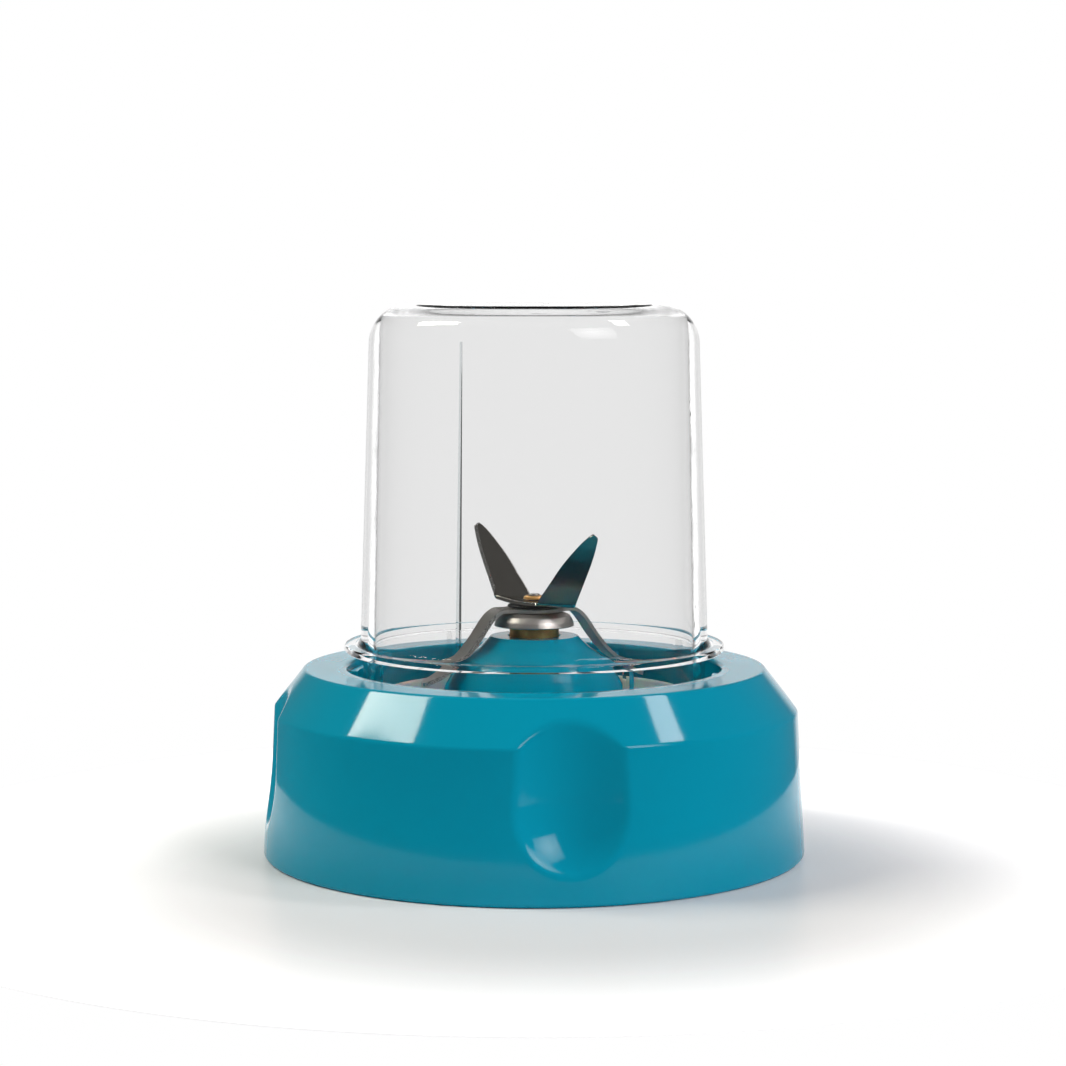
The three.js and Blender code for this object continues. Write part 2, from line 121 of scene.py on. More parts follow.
def smooth_min(a: float, b: float, blend: float) -> float:
    """The smaller of two values, rounded off where they are within `blend`."""
    share = max(0.0, min(1.0, 0.5 + 0.5 * (b - a) / blend))
    return b + (a - b) * share - blend * share * (1.0 - share)


def ease(share: float) -> float:
    """A smooth step from 0 to 1."""
    share = max(0.0, min(1.0, share))
    return share * share * (3.0 - 2.0 * share)


def curve_through(knots: Sequence[Point]) -> Callable[[float], float]:
    """A smooth curve y(x) through knots given in rising x, never overshooting them.

    Args:
        knots: (x, y) pairs.

    Returns:
        A function of x, held level beyond the first and last knots.
    """
    xs = [x for x, _ in knots]
    ys = [y for _, y in knots]
    rise = [(ys[i + 1] - ys[i]) / (xs[i + 1] - xs[i]) for i in range(len(xs) - 1)]
    slope = [rise[0]]
    for left, right in zip(rise, rise[1:]):
        slope.append(0.0 if left * right <= 0 else 2.0 * left * right / (left + right))
    slope.append(rise[-1])

    def value(x: float) -> float:
        """The curve's height at x."""
        if x <= xs[0]:
            return ys[0]
        if x >= xs[-1]:
            return ys[-1]
        i = next(k for k in range(len(xs) - 1) if x <= xs[k + 1])
        run = xs[i + 1] - xs[i]
        t = (x - xs[i]) / run
        return (ys[i] * (1 + 2 * t) * (1 - t) ** 2 + slope[i] * run * t * (1 - t) ** 2
                + ys[i + 1] * t * t * (3 - 2 * t) - slope[i + 1] * run * t * t * (1 - t))

    return value


# --------------------------------------------------------------------------- meshes


def mesh_object(name: str, verts: Iterable[Sequence[float]],
                faces: Iterable[Sequence[int]], crease: float = 32.0) -> bpy.types.Object:
    """Makes an object at the origin from points in millimetres.

    Args:
        name: the object's name.
        verts: points in millimetres.
        faces: vertex numbers of each face, counter-clockwise from outside.
        crease: edges that turn more than this many degrees are drawn sharp.

    Returns:
        The linked object.
    """
    mesh = bpy.data.meshes.new(name)
    mesh.from_pydata([(x * MM, y * MM, z * MM) for x, y, z in verts], [], list(faces))
    mesh.validate()
    mesh.shade_smooth()
    mesh.set_sharp_from_angle(angle=math.radians(crease))
    made = bpy.data.objects.new(name, mesh)
    bpy.context.scene.collection.objects.link(made)
    return made


def turned(name: str, outline: Sequence[Point], columns: int = 96) -> bpy.types.Object:
    """Turns an outline of (radius, z) about the Z axis into a closed body.

    Args:
        name: the object's name.
        outline: points going round the material with the outside on their right, so up
            the outer face and down the inner one; it closes on itself, or on the axis
            where its ends have radius 0.
        columns: faces round the axis.

    Returns:
        The linked object.
    """
    closed = outline[0][0] > 1e-6
    rows: list[list[int]] = []
    verts: list[tuple[float, float, float]] = []
    for radius, z in outline:
        if radius <= 1e-6:
            rows.append([len(verts)] * columns)
            verts.append((0.0, 0.0, z))
            continue
        rows.append(list(range(len(verts), len(verts) + columns)))
        for k in range(columns):
            angle = TURN * k / columns
            verts.append((radius * math.cos(angle), radius * math.sin(angle), z))
    return mesh_object(name, verts, band_faces(rows, closed))


def band_faces(rows: Sequence[Sequence[int]], closed: bool) -> list[tuple[int, ...]]:
    """Joins rows of vertex numbers, each a ring round the axis, with faces.

    Args:
        rows: one list of vertex numbers for each row, all of one length.
        closed: whether the last row joins the first.

    Returns:
        Quads, and triangles where a row is a single point.
    """
    faces: list[tuple[int, ...]] = []
    last = len(rows) if closed else len(rows) - 1
    for i in range(last):
        low, high = rows[i], rows[(i + 1) % len(rows)]
        for k in range(len(low)):
            n = (k + 1) % len(low)
            corners = [low[k], low[n], high[n], high[k]]
            face = tuple(dict.fromkeys(corners))
            if len(face) > 2:
                faces.append(face)
    return faces


def bake_down(obj: bpy.types.Object) -> bpy.types.Object:
    """Turns an object and its modifiers into one plain mesh under the same name."""
    bpy.context.view_layer.update()
    seen = obj.evaluated_get(bpy.context.evaluated_depsgraph_get())
    plain = bpy.data.meshes.new_from_object(seen)
    obj.modifiers.clear()
    obj.data = plain
    plain.name = obj.name
    return obj


def combine(obj: bpy.types.Object, other: bpy.types.Object, how: str) -> None:
    """Joins a second solid to an object, or cuts it away, and removes the second.

    Args:
        obj: the object that is changed.
        other: the solid that is added or cut away.
        how: "UNION" or "DIFFERENCE".
    """
    step = obj.modifiers.new("combine", "BOOLEAN")
    step.operation = how
    step.solver = "EXACT"
    step.object = other
    bake_down(obj)
    bpy.data.objects.remove(other)


def soften(obj: bpy.types.Object, width: float, segments: int = 2) -> None:
    """Rounds the sharp edges of a small piece by `width` millimetres."""
    step = obj.modifiers.new("soften", "BEVEL")
    step.width = width * MM
    step.segments = segments
    step.limit_method = "ANGLE"
    step.angle_limit = math.radians(40.0)
    bake_down(obj)
    obj.data.shade_smooth()
    obj.data.set_sharp_from_angle(angle=math.radians(40.0))


@dataclass(frozen=True)
class SectorRing:
    """Equal blocks round an axis, each bounded by two radii, two angles and two heights."""

    inner: float
    outer: float
    low: float
    high: float
    span: float
    first: float
    count: int
    steps: int = 12

    def build(self, name: str) -> bpy.types.Object:
        """Grows the blocks with a geometry node tree and returns them as a plain mesh.

        Args:
            name: the object's name.

        Returns:
            The linked object.
        """
        tree, inputs = sector_ring_tree()
        made = bpy.data.objects.new(name, bpy.data.meshes.new(name))
        bpy.context.scene.collection.objects.link(made)
        step = made.modifiers.new("sectors", "NODES")
        step.node_group = tree
        values = {
            "Inner Radius": self.inner * MM, "Outer Radius": self.outer * MM,
            "Low": self.low * MM, "High": self.high * MM,
            "Span": math.radians(self.span), "First Angle": math.radians(self.first),
            "Count": self.count, "Steps": self.steps,
        }
        for label, value in values.items():
            step[inputs[label]] = value
        return bake_down(made)


def add_node(tree: bpy.types.NodeTree, kind: str, links: dict | None = None,
             **settings: object) -> bpy.types.Node:
    """Adds one node with its settings and links.

    Args:
        tree: the node tree that it joins.
        kind: the node's type name.
        links: input name or number to an output socket or a plain value.
        **settings: attributes of the node itself.

    Returns:
        The node.
    """
    node = tree.nodes.new(kind)
    for label, value in settings.items():
        setattr(node, label, value)
    for label, value in (links or {}).items():
        if isinstance(value, bpy.types.NodeSocket):
            tree.links.new(value, node.inputs[label])
        else:
            node.inputs[label].default_value = value
    return node


_trees: dict[str, tuple[bpy.types.NodeTree, dict[str, str]]] = {}


def sector_ring_tree() -> tuple[bpy.types.NodeTree, dict[str, str]]:
    """Builds, once, the tree that bends blocks round the axis and repeats them.

    Returns:
        The tree, and each named input's identifier.
    """
    if "sectors" in _trees:
        return _trees["sectors"]
    tree = bpy.data.node_groups.new("sector_ring", "GeometryNodeTree")
    face = tree.interface
    ids: dict[str, str] = {}
    for label in ("Inner Radius", "Outer Radius", "Low", "High", "Span", "First Angle"):
        ids[label] = face.new_socket(label, in_out="INPUT",
                                     socket_type="NodeSocketFloat").identifier
    for label in ("Count", "Steps"):
        ids[label] = face.new_socket(label, in_out="INPUT",
                                     socket_type="NodeSocketInt").identifier
    ids["Material"] = face.new_socket("Material", in_out="INPUT",
                                      socket_type="NodeSocketMaterial").identifier
    face.new_socket("Geometry", in_out="OUTPUT", socket_type="NodeSocketGeometry")
    given = tree.nodes.new("NodeGroupInput").outputs

    def maths(operation: str, a: object, b: object) -> bpy.types.NodeSocket:
        """One sum of two values."""
        return add_node(tree, "ShaderNodeMath", {0: a, 1: b}, operation=operation).outputs[0]

    depth = maths("SUBTRACT", given["Outer Radius"], given["Inner Radius"])
    height = maths("SUBTRACT", given["High"], given["Low"])
    size = add_node(tree, "ShaderNodeCombineXYZ",
                    {"X": given["Span"], "Y": depth, "Z": height})
    block = add_node(tree, "GeometryNodeMeshCube",
                     {"Size": size.outputs[0], "Vertices X": given["Steps"]})
    at = add_node(tree, "ShaderNodeSeparateXYZ",
                  {0: tree.nodes.new("GeometryNodeInputPosition").outputs[0]}).outputs
    radius = maths("ADD", at["Y"], maths("MULTIPLY", 0.5, maths(
        "ADD", given["Outer Radius"], given["Inner Radius"])))
    level = maths("ADD", at["Z"], maths("MULTIPLY", 0.5, maths(
        "ADD", given["High"], given["Low"])))
    # the block's length runs backwards round the axis, so that its faces stay outward
    angle = maths("MULTIPLY", at["X"], -1.0)
    bent = add_node(tree, "ShaderNodeCombineXYZ", {
        "X": maths("MULTIPLY", radius, maths("COSINE", angle, 0.0)),
        "Y": maths("MULTIPLY", radius, maths("SINE", angle, 0.0)), "Z": level})
    curved = add_node(tree, "GeometryNodeSetPosition",
                      {"Geometry": block.outputs["Mesh"], "Position": bent.outputs[0]})
    points = add_node(tree, "GeometryNodeMeshLine",
                      {"Count": given["Count"], "Offset": (0.0, 0.0, 0.0)})
    pitch = maths("DIVIDE", TURN, given["Count"])
    index = tree.nodes.new("GeometryNodeInputIndex").outputs[0]
    way = maths("ADD", maths("MULTIPLY", index, pitch), given["First Angle"])
    turn = add_node(tree, "FunctionNodeAxisAngleToRotation",
                    {"Axis": (0.0, 0.0, 1.0), "Angle": way})
    spread = add_node(tree, "GeometryNodeInstanceOnPoints", {
        "Points": points.outputs[0], "Instance": curved.outputs[0],
        "Rotation": turn.outputs[0]})
    real = add_node(tree, "GeometryNodeRealizeInstances", {0: spread.outputs[0]})
    done = add_node(tree, "GeometryNodeSetMaterial",
                    {"Geometry": real.outputs[0], "Material": given["Material"]})
    out = tree.nodes.new("NodeGroupOutput")
    tree.links.new(done.outputs[0], out.inputs[0])
    _trees["sectors"] = (tree, ids)
    return _trees["sectors"]


@dataclass(frozen=True)
class BentSheet:
    """A flat sheet blank folded along parallel lines, such as a stamped blade.

    The blank lies in (x, s); the fold carries s to a path of (y, z). Each station has a
    left and a right edge, and either edge may be ground to a bevel.
    """

    stations: Sequence[float]
    left: Callable[[float], float]
    right: Callable[[float], float]
    path: Callable[[float], Point]
    thick: float
    left_grind: Callable[[float], float]
    right_grind: Callable[[float], float]
    edge: float = 0.12

    def build(self, name: str, turn: float) -> bpy.types.Object:
        """Lofts the sheet as one closed body and marks its ground faces, which `dress` later gives the second
        material.

        Args:
            name: the object's name.
            turn: degrees that the finished sheet is turned about Z.

        Returns:
            The linked object.
        """
        cos, sin = math.cos(math.radians(turn)), math.sin(math.radians(turn))
        verts: list[tuple[float, float, float]] = []
        rows: list[list[int]] = []
        small = 1e-3
        for s in self.stations:
            y, z = self.path(s)
            ya, za = self.path(s - small)
            yb, zb = self.path(s + small)
            run = math.hypot(yb - ya, zb - za)
            ny, nz = -(zb - za) / run, (yb - ya) / run
            a, b = self.left(s), self.right(s)
            ga, gb = self.left_grind(s), self.right_grind(s)
            e, t = min(self.edge, 0.2 * (b - a)), self.thick
            section = [
                (a + e, 0.0), (b - e, 0.0), (b, e * 0.6), (b, t - e * 0.6 if gb < e else e),
                (b - max(gb, e), t), (a + max(ga, e), t),
                (a, t - e * 0.6 if ga < e else e), (a, e * 0.6),
            ]
            rows.append(list(range(len(verts), len(verts) + len(section))))
            for x, up in section:
                px, py = x, y + ny * up
                verts.append((px * cos - py * sin, px * sin + py * cos, z + nz * up))
        faces: list[tuple[int, ...]] = []
        ground: list[int] = []
        for low, high in zip(rows, rows[1:]):
            for k in range(len(low)):
                n = (k + 1) % len(low)
                if k in (3, 5):
                    ground.append(len(faces))
                faces.append((low[k], high[k], high[n], low[n]))
        faces.append(tuple(rows[0]))
        faces.append(tuple(reversed(rows[-1])))
        made = mesh_object(name, verts, faces, crease=28.0)
        marks = made.data.attributes.new("ground", "BOOLEAN", "FACE")
        for number in ground:
            marks.data[number].value = True
        return made


# --------------------------------------------------------------------------- finishes


def srgb(code: str) -> tuple[float, float, float, float]:
    """Turns a six-digit sRGB hex colour into linear values with full alpha."""
    parts = [int(code[i:i + 2], 16) / 255.0 for i in (1, 3, 5)]
    linear = [c / 12.92 if c <= 0.04045 else ((c + 0.055) / 1.055) ** 2.4 for c in parts]
    return (linear[0], linear[1], linear[2], 1.0)


class Lay(Enum):
    """Which way the marks of making run over a surface."""

    ANY = "no direction"
    ROUND = "rings round the axis"
    ALONG = "straight lines"


@dataclass(frozen=True)
class Finish:
    """A moulded, rolled or turned surface with fine marks in its gloss and its relief."""

    name: str
    colour: str
    roughness: float
    metallic: float = 0.0
    ior: float = 1.5
    transmission: float = 0.0
    subsurface: float = 0.0
    coat: float = 0.0
    lay: Lay = Lay.ANY
    lay_angle: float = 0.0
    grain: float = 0.6          # spacing of the marks in millimetres
    stretch: float = 30.0       # how much longer than wide directed marks are
    gloss_change: float = 0.05  # how far roughness wanders
    relief: float = 0.004       # height of the marks in millimetres
    tint: str = ""              # colour of patches, where the surface has them
    tint_share: float = 0.0
    patch: float = 14.0         # size of the patches in millimetres

    def material(self) -> bpy.types.Material:
        """Builds the material once and returns it."""
        known = bpy.data.materials.get(self.name)
        if known:
            return known
        made = bpy.data.materials.new(self.name)
        made.use_nodes = True
        tree = made.node_tree
        tree.nodes.clear()
        shader = add_node(tree, "ShaderNodeBsdfPrincipled", {
            "Base Color": srgb(self.colour), "Metallic": self.metallic,
            "Transmission Weight": self.transmission, "Coat Weight": self.coat,
            "Subsurface Weight": self.subsurface,
        })
        if self.coat:
            shader.inputs["Coat IOR"].default_value = COAT_IOR
            shader.inputs["Coat Roughness"].default_value = COAT_ROUGHNESS
        if not self.metallic:
            shader.inputs["IOR"].default_value = self.ior
        if self.subsurface:
            shader.inputs["Subsurface Scale"].default_value = 2.0 * MM
        marks = self.marks(tree)
        gloss = add_node(tree, "ShaderNodeMapRange", {
            "Value": marks, "From Min": 0.3, "From Max": 0.7,
            "To Min": max(0.0, self.roughness - self.gloss_change),
            "To Max": self.roughness + self.gloss_change})
        tree.links.new(gloss.outputs["Result"], shader.inputs["Roughness"])
        if self.relief:
            bump = add_node(tree, "ShaderNodeBump", {
                "Height": marks, "Distance": self.relief * MM, "Strength": 1.0})
            tree.links.new(bump.outputs["Normal"], shader.inputs["Normal"])
        if self.tint_share:
            where = self.cloud(tree)
            share = add_node(tree, "ShaderNodeMapRange", {
                "Value": where, "From Min": 0.35, "From Max": 0.65,
                "To Min": 0.0, "To Max": self.tint_share})
            mixed = add_node(tree, "ShaderNodeMix", {
                0: share.outputs["Result"], 6: srgb(self.colour), 7: srgb(self.tint)},
                data_type="RGBA")
            tree.links.new(mixed.outputs[2], shader.inputs["Base Color"])
        out = tree.nodes.new("ShaderNodeOutputMaterial")
        tree.links.new(shader.outputs[0], out.inputs["Surface"])
        return made

    def cloud(self, tree: bpy.types.NodeTree) -> bpy.types.NodeSocket:
        """Soft patches, `patch` millimetres across."""
        place = add_node(tree, "ShaderNodeTexCoord").outputs["Object"]
        return add_node(tree, "ShaderNodeTexNoise", {
            "Vector": place, "Scale": 1.0 / (self.patch * MM), "Detail": 2.0,
        }).outputs[0]

    def marks(self, tree: bpy.types.NodeTree) -> bpy.types.NodeSocket:
        """The fine marks, running the way that `lay` says."""
        place = add_node(tree, "ShaderNodeTexCoord").outputs["Object"]
        across = 1.0 / (self.grain * MM)
        if self.lay is Lay.ALONG:
            place = add_node(tree, "ShaderNodeMapping", {
                "Vector": place, "Rotation": (0.0, 0.0, -math.radians(self.lay_angle)),
            }, vector_type="TEXTURE").outputs[0]
            place = add_node(tree, "ShaderNodeMapping", {
                "Vector": place, "Scale": (1.0 / self.stretch, 1.0, 1.0)}).outputs[0]
        elif self.lay is Lay.ROUND:
            at = add_node(tree, "ShaderNodeSeparateXYZ", {0: place}).outputs
            flat = add_node(tree, "ShaderNodeCombineXYZ", {"X": at["X"], "Y": at["Y"]})
            radius = add_node(tree, "ShaderNodeVectorMath", {0: flat.outputs[0]},
                              operation="LENGTH").outputs["Value"]
            place = add_node(tree, "ShaderNodeCombineXYZ",
                             {"X": radius, "Z": at["Z"]}).outputs[0]
        return add_node(tree, "ShaderNodeTexNoise", {
            "Vector": place, "Scale": across, "Detail": 3.0, "Roughness": 0.6}).outputs[0]


# Moulded ABS in teal: even, saturated, with the clear gloss of a polished mould. Its
# surface reflection is set below that of real ABS, so that the wall stays free of haze.
TEAL_ABS = Finish("teal_moulded_abs", "#0094B2", 0.07, ior=1.27, grain=1.3,
                  gloss_change=0.02, relief=0.0006, tint="#008DAA", tint_share=0.4,
                  patch=40.0)
# Clear styrene plastic. Its walls guide light round many turns, so a real corner stays
# bright: a gentle bend inside keeps that, and the coat carries the true surface gloss.
CLEAR_CUP = Finish("clear_moulded_styrene", "#F5F5F5", 0.01, ior=1.045, transmission=1.0,
                   coat=0.3, grain=9.0, gloss_change=0.008, relief=0.002)
# The rib is a bead of the same plastic, set to bend light more so that it reads as a line. Its colour is greyer
# than the cup's: painted shade along that line.
CLEAR_RIB = Finish("clear_moulded_rib", "#E6EAEB", 0.02, ior=1.12, transmission=1.0,
                   grain=3.0, gloss_change=0.01, relief=0.002)
# Translucent silicone: soft, milky and slightly rough.
SILICONE = Finish("milky_silicone", "#DEDFDC", 0.45, ior=1.41, subsurface=0.6,
                  grain=0.8, relief=0.003)
# Pressed stainless steel with a satin finish, polished on the lathe.
CAP_STEEL = Finish("satin_pressed_steel", "#CBC5C1", 0.42, metallic=1.0, lay=Lay.ROUND,
                   grain=0.3, gloss_change=0.05, relief=0.0012)
# Rolled stainless sheet: long faint rolling lines, duller below and glossier above.
LOWER_STEEL = Finish("rolled_steel_lower", "#C8C4BF", 0.36, metallic=1.0, lay=Lay.ALONG,
                     lay_angle=14.6, grain=0.45, gloss_change=0.06, relief=0.002)
# The upper copy of the same steel is coloured darker than the lower: painted shade.
UPPER_STEEL = Finish("rolled_steel_upper", "#AAA69F", 0.13, metallic=1.0, lay=Lay.ALONG,
                     lay_angle=64.7, grain=0.45, gloss_change=0.03, relief=0.0008)
# Ground bevel: bright, with coarser lines across the edge.
GROUND_STEEL = Finish("ground_steel_edge", "#DAD8D4", 0.26, metallic=1.0, grain=0.3,
                      gloss_change=0.08, relief=0.004)
# Turned stainless steel: fine rings left by the tool.
TURNED_STEEL = Finish("turned_steel", "#A3A19E", 0.28, metallic=1.0, lay=Lay.ROUND,
                      grain=0.22, gloss_change=0.08, relief=0.003)
# Turned brass: warm, with tool rings and a little tarnish.
TURNED_BRASS = Finish("turned_brass", "#F6C07C", 0.36, metallic=1.0, lay=Lay.ROUND,
                      grain=0.22, gloss_change=0.05, relief=0.0008, tint="#A06E34",
                      tint_share=0.5, patch=3.0)
# Sintered bronze: dull, open-pored and oiled.
SINTERED_BRONZE = Finish("sintered_bronze", "#8C6A45", 0.48, metallic=1.0, grain=0.25,
                         relief=0.012, tint="#5E452C", tint_share=0.7, patch=1.2)
# Glass-filled nylon: black with a fine, slightly streaked sheen.
BLACK_NYLON = Finish("black_glass_filled_nylon", "#17181A", 0.42, ior=1.53, grain=0.5,
                     gloss_change=0.09, relief=0.006)
# Nitrile rubber: near-black and matt.
NITRILE = Finish("nitrile_rubber", "#141414", 0.7, ior=1.52, grain=0.3, relief=0.006)
# Natural acetal: waxy off-white.
ACETAL = Finish("natural_acetal", "#D9D5CA", 0.4, ior=1.48, subsurface=0.2, grain=0.6)


def dress(obj: bpy.types.Object, *finishes: Finish) -> None:
    """Gives a piece its finishes; faces marked as ground take the second one."""
    obj.data.materials.clear()
    for finish in finishes:
        obj.data.materials.append(finish.material())
    marks = obj.data.attributes.get("ground")
    if marks and len(finishes) > 1:
        for polygon, mark in zip(obj.data.polygons, marks.data):
            polygon.material_index = int(mark.value)


def enter(obj: bpy.types.Object, body: Body, nodes: Sequence[str] = ()) -> None:
    """Puts a finished piece into the model.

    Args:
        obj: the finished piece.
        body: the body it rides on.
        nodes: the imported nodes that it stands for.
    """
    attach(obj, body.value)
    if nodes:
        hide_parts(*nodes)
    log.info("%s: %d faces, rides on %s", obj.name, len(obj.data.polygons), body.value)


# --------------------------------------------------------------------------- base


@dataclass(frozen=True)
class Row:
    """One ring of the base's skin: its radius and height, and how a scallop meets it."""

    r: float
    z: float
    grow: float | None = None


@dataclass
class BaseHousing:
    """The teal moulding: wall with finger scallops, shoulder, well, cone and boss."""

    rim_r: float = 63.0
    height: float = 43.2
    shoulder_h: float = 9.8
    lean: float = 1.9
    shoulder_in: float = 9.6
    wall: float = 3.0
    scallops: int = 4
    scallop_r: float = 22.1
    scallop_deep: float = 6.1
    scallop_z: float = 21.6
    scallop_wall: float = 2.6
    scallop_round: float = 1.0
    well_r: float = 43.3
    well_floor: float = 31.0
    cone_up: float = 7.0
    cone_top_r: float = 10.2
    cone_foot_r: float = 24.0
    boss_r: float = 8.4
    boss_end: float = 24.0
    collar_bore: float = 6.05
    body_bore: float = 5.2
    seat_deep: float = 5.0
    ribs: int = 8
    rib_t: float = 2.0
    tabs: int = 4
    tab_in: float = 41.2
    tab_top: float = 41.6
    tab_h: float = 3.2
    tab_span: float = 28.0
    tab_from: float = -126.6

    @property
    def cone_top(self) -> float:
        """Height of the flat top of the cone."""
        return self.height + self.cone_up

    def trough(self, angle: float, z: float, grow: float) -> float:
        """Distance from the axis to a scallop's surface, in millimetres.

        Args:
            angle: angle round the axis in radians.
            z: height.
            grow: how far the surface is set behind the scallop's own.

        Returns:
            The radius, or a large number where no scallop is met.
        """
        centre = self.rim_r - self.scallop_deep + self.scallop_r
        reach = self.scallop_r + grow
        below = max(0.0, self.scallop_z - z)
        if below >= reach:
            return 1e3
        reach = math.sqrt(reach * reach - below * below)
        pitch = TURN / self.scallops
        off = (angle + pitch / 2.0) % pitch - pitch / 2.0
        under = reach * reach - (centre * math.sin(off)) ** 2
        return centre * math.cos(off) - math.sqrt(under) if under > 0 else 1e3

    def angles(self) -> list[float]:
        """Angles of the skin's columns, close together over each scallop."""
        half, fine, coarse = 13.6, 68, 16
        pitch = 360.0 / self.scallops
        found: list[float] = []
        for i in range(self.scallops):
            middle = pitch * i
            found += [middle - half + 2 * half * k / fine for k in range(fine)]
            found += [middle + half + (pitch - 2 * half) * k / coarse for k in range(coarse)]
        return [math.radians(a) for a in found]

    def cone_skin(self, inward: float) -> list[tuple[float, float, float]]:
        """Corners of the cone's flare from the foot up, with their roundings."""
        foot, top = self.cone_foot_r, self.cone_top
        return [
            (foot - 0.6 * inward, self.well_floor - inward, 2.4),
            (foot - 3.4 - inward, top - 11.3, 4.0),
            (foot - 5.0 - inward, top - 8.6, 5.0),
            (foot - 6.4 - inward, top - 6.0, 3.0),
            (foot - 8.4 - inward, top - 4.6, 3.0),
            (self.cone_top_r + 2.6 - 0.9 * inward, top - 2.7 - 0.5 * inward, 4.0),
            (self.cone_top_r + 0.8 - 0.6 * inward, top - 0.9 - 0.9 * inward, 1.4),
        ]

    def rows(self) -> list[Row]:
        """The skin from the outer rim over the top, through the well and back below."""
        shoulder_z = self.height - self.shoulder_h
        shoulder_r = self.rim_r - self.lean
        ring_r = self.rim_r - self.shoulder_in
        back_r = self.well_r + self.wall
        skin: list[Row] = []
        outer = fillet([
            (self.rim_r - 2.0, 0.0, 0.0), (self.rim_r, 0.0, 0.8),
            (shoulder_r, shoulder_z, 1.6), (ring_r, self.height, 1.0),
            (self.well_r + 3.0, self.height, 0.0)], closed=False, step=9.0)
        for (r0, z0), (r1, z1) in zip(outer, outer[1:]):
            pieces = max(1, round(math.hypot(r1 - r0, z1 - z0) / 0.5)) if r1 > ring_r else 1
            skin += [Row(r0 + (r1 - r0) * k / pieces, z0 + (z1 - z0) * k / pieces, 0.0)
                     for k in range(pieces)]
        inside = fillet([
            (self.well_r + 3.0, self.height, 0.0), (self.well_r, self.height, 1.1),
            (self.well_r - 0.1, self.well_floor, 1.2), *self.cone_skin(0.0),
            (self.cone_top_r, self.cone_top, 0.5), (self.collar_bore, self.cone_top, 0.25),
            (self.collar_bore, self.cone_top - self.seat_deep, 0.0),
            (self.body_bore, self.cone_top - self.seat_deep, 0.0),
            (self.body_bore, self.boss_end, 0.3), (self.boss_r, self.boss_end, 0.5),
            (self.boss_r + 0.3, self.cone_top - self.seat_deep - 2.4, 0.6),
            *reversed(self.cone_skin(self.wall)),
            (self.well_r, self.well_floor - self.wall, 1.0),
            (self.well_r, self.well_floor - self.wall - 14.0, 0.6),
            (back_r, self.well_floor - self.wall - 16.0, 0.6),
            (back_r, self.height - self.wall, 1.0),
            (ring_r - 0.4 * self.wall, self.height - self.wall, 0.0)],
            closed=False, step=18.0)
        skin += [Row(r, z) for r, z in inside[:-1]]
        foot_r = self.rim_r - self.wall
        steps = 22
        wall_in = curve_through([(0.0, foot_r), (shoulder_z - 1.0, shoulder_r - self.wall),
                                 (self.height - self.wall, ring_r - 0.4 * self.wall)])
        for k in range(steps + 1):
            z = (self.height - self.wall) * (1.0 - k / steps)
            skin.append(Row(wall_in(z), max(z, 0.3), self.scallop_wall))
        skin.append(Row(foot_r + 0.3, 0.0))
        return skin

    def build(self) -> None:
        """Builds the moulding, the tabs in its well and the ribs under its floor."""
        columns = self.angles()
        rows: list[list[int]] = []
        verts: list[tuple[float, float, float]] = []
        for row in self.rows():
            rows.append(list(range(len(verts), len(verts) + len(columns))))
            for angle in columns:
                r = row.r
                if row.grow is not None:
                    hollow = self.trough(angle, row.z, row.grow)
                    r = smooth_min(r, hollow, self.scallop_round)
                verts.append((r * math.cos(angle), r * math.sin(angle), row.z))
        shell = mesh_object("base_shell", verts, band_faces(rows, True), crease=40.0)
        dress(shell, TEAL_ABS)
        enter(shell, Body.BASE, ["base_housing"])
        tabs = SectorRing(self.tab_in, self.well_r + 1.0, self.tab_top - self.tab_h,
                          self.tab_top, self.tab_span,
                          self.tab_from + self.tab_span / 2, self.tabs).build("well_tabs")
        soften(tabs, 0.4)
        dress(tabs, TEAL_ABS)
        enter(tabs, Body.BASE)
        span = math.degrees(self.rib_t / 24.0)
        ribs = SectorRing(self.boss_r - 0.5, self.well_r + 0.8, self.boss_end + 0.5,
                          self.well_floor - self.wall + 0.5, span, 180.0 / self.ribs,
                          self.ribs, 2).build("floor_ribs")
        dress(ribs, TEAL_ABS)
        enter(ribs, Body.BASE)


# --------------------------------------------------------------------------- bearing


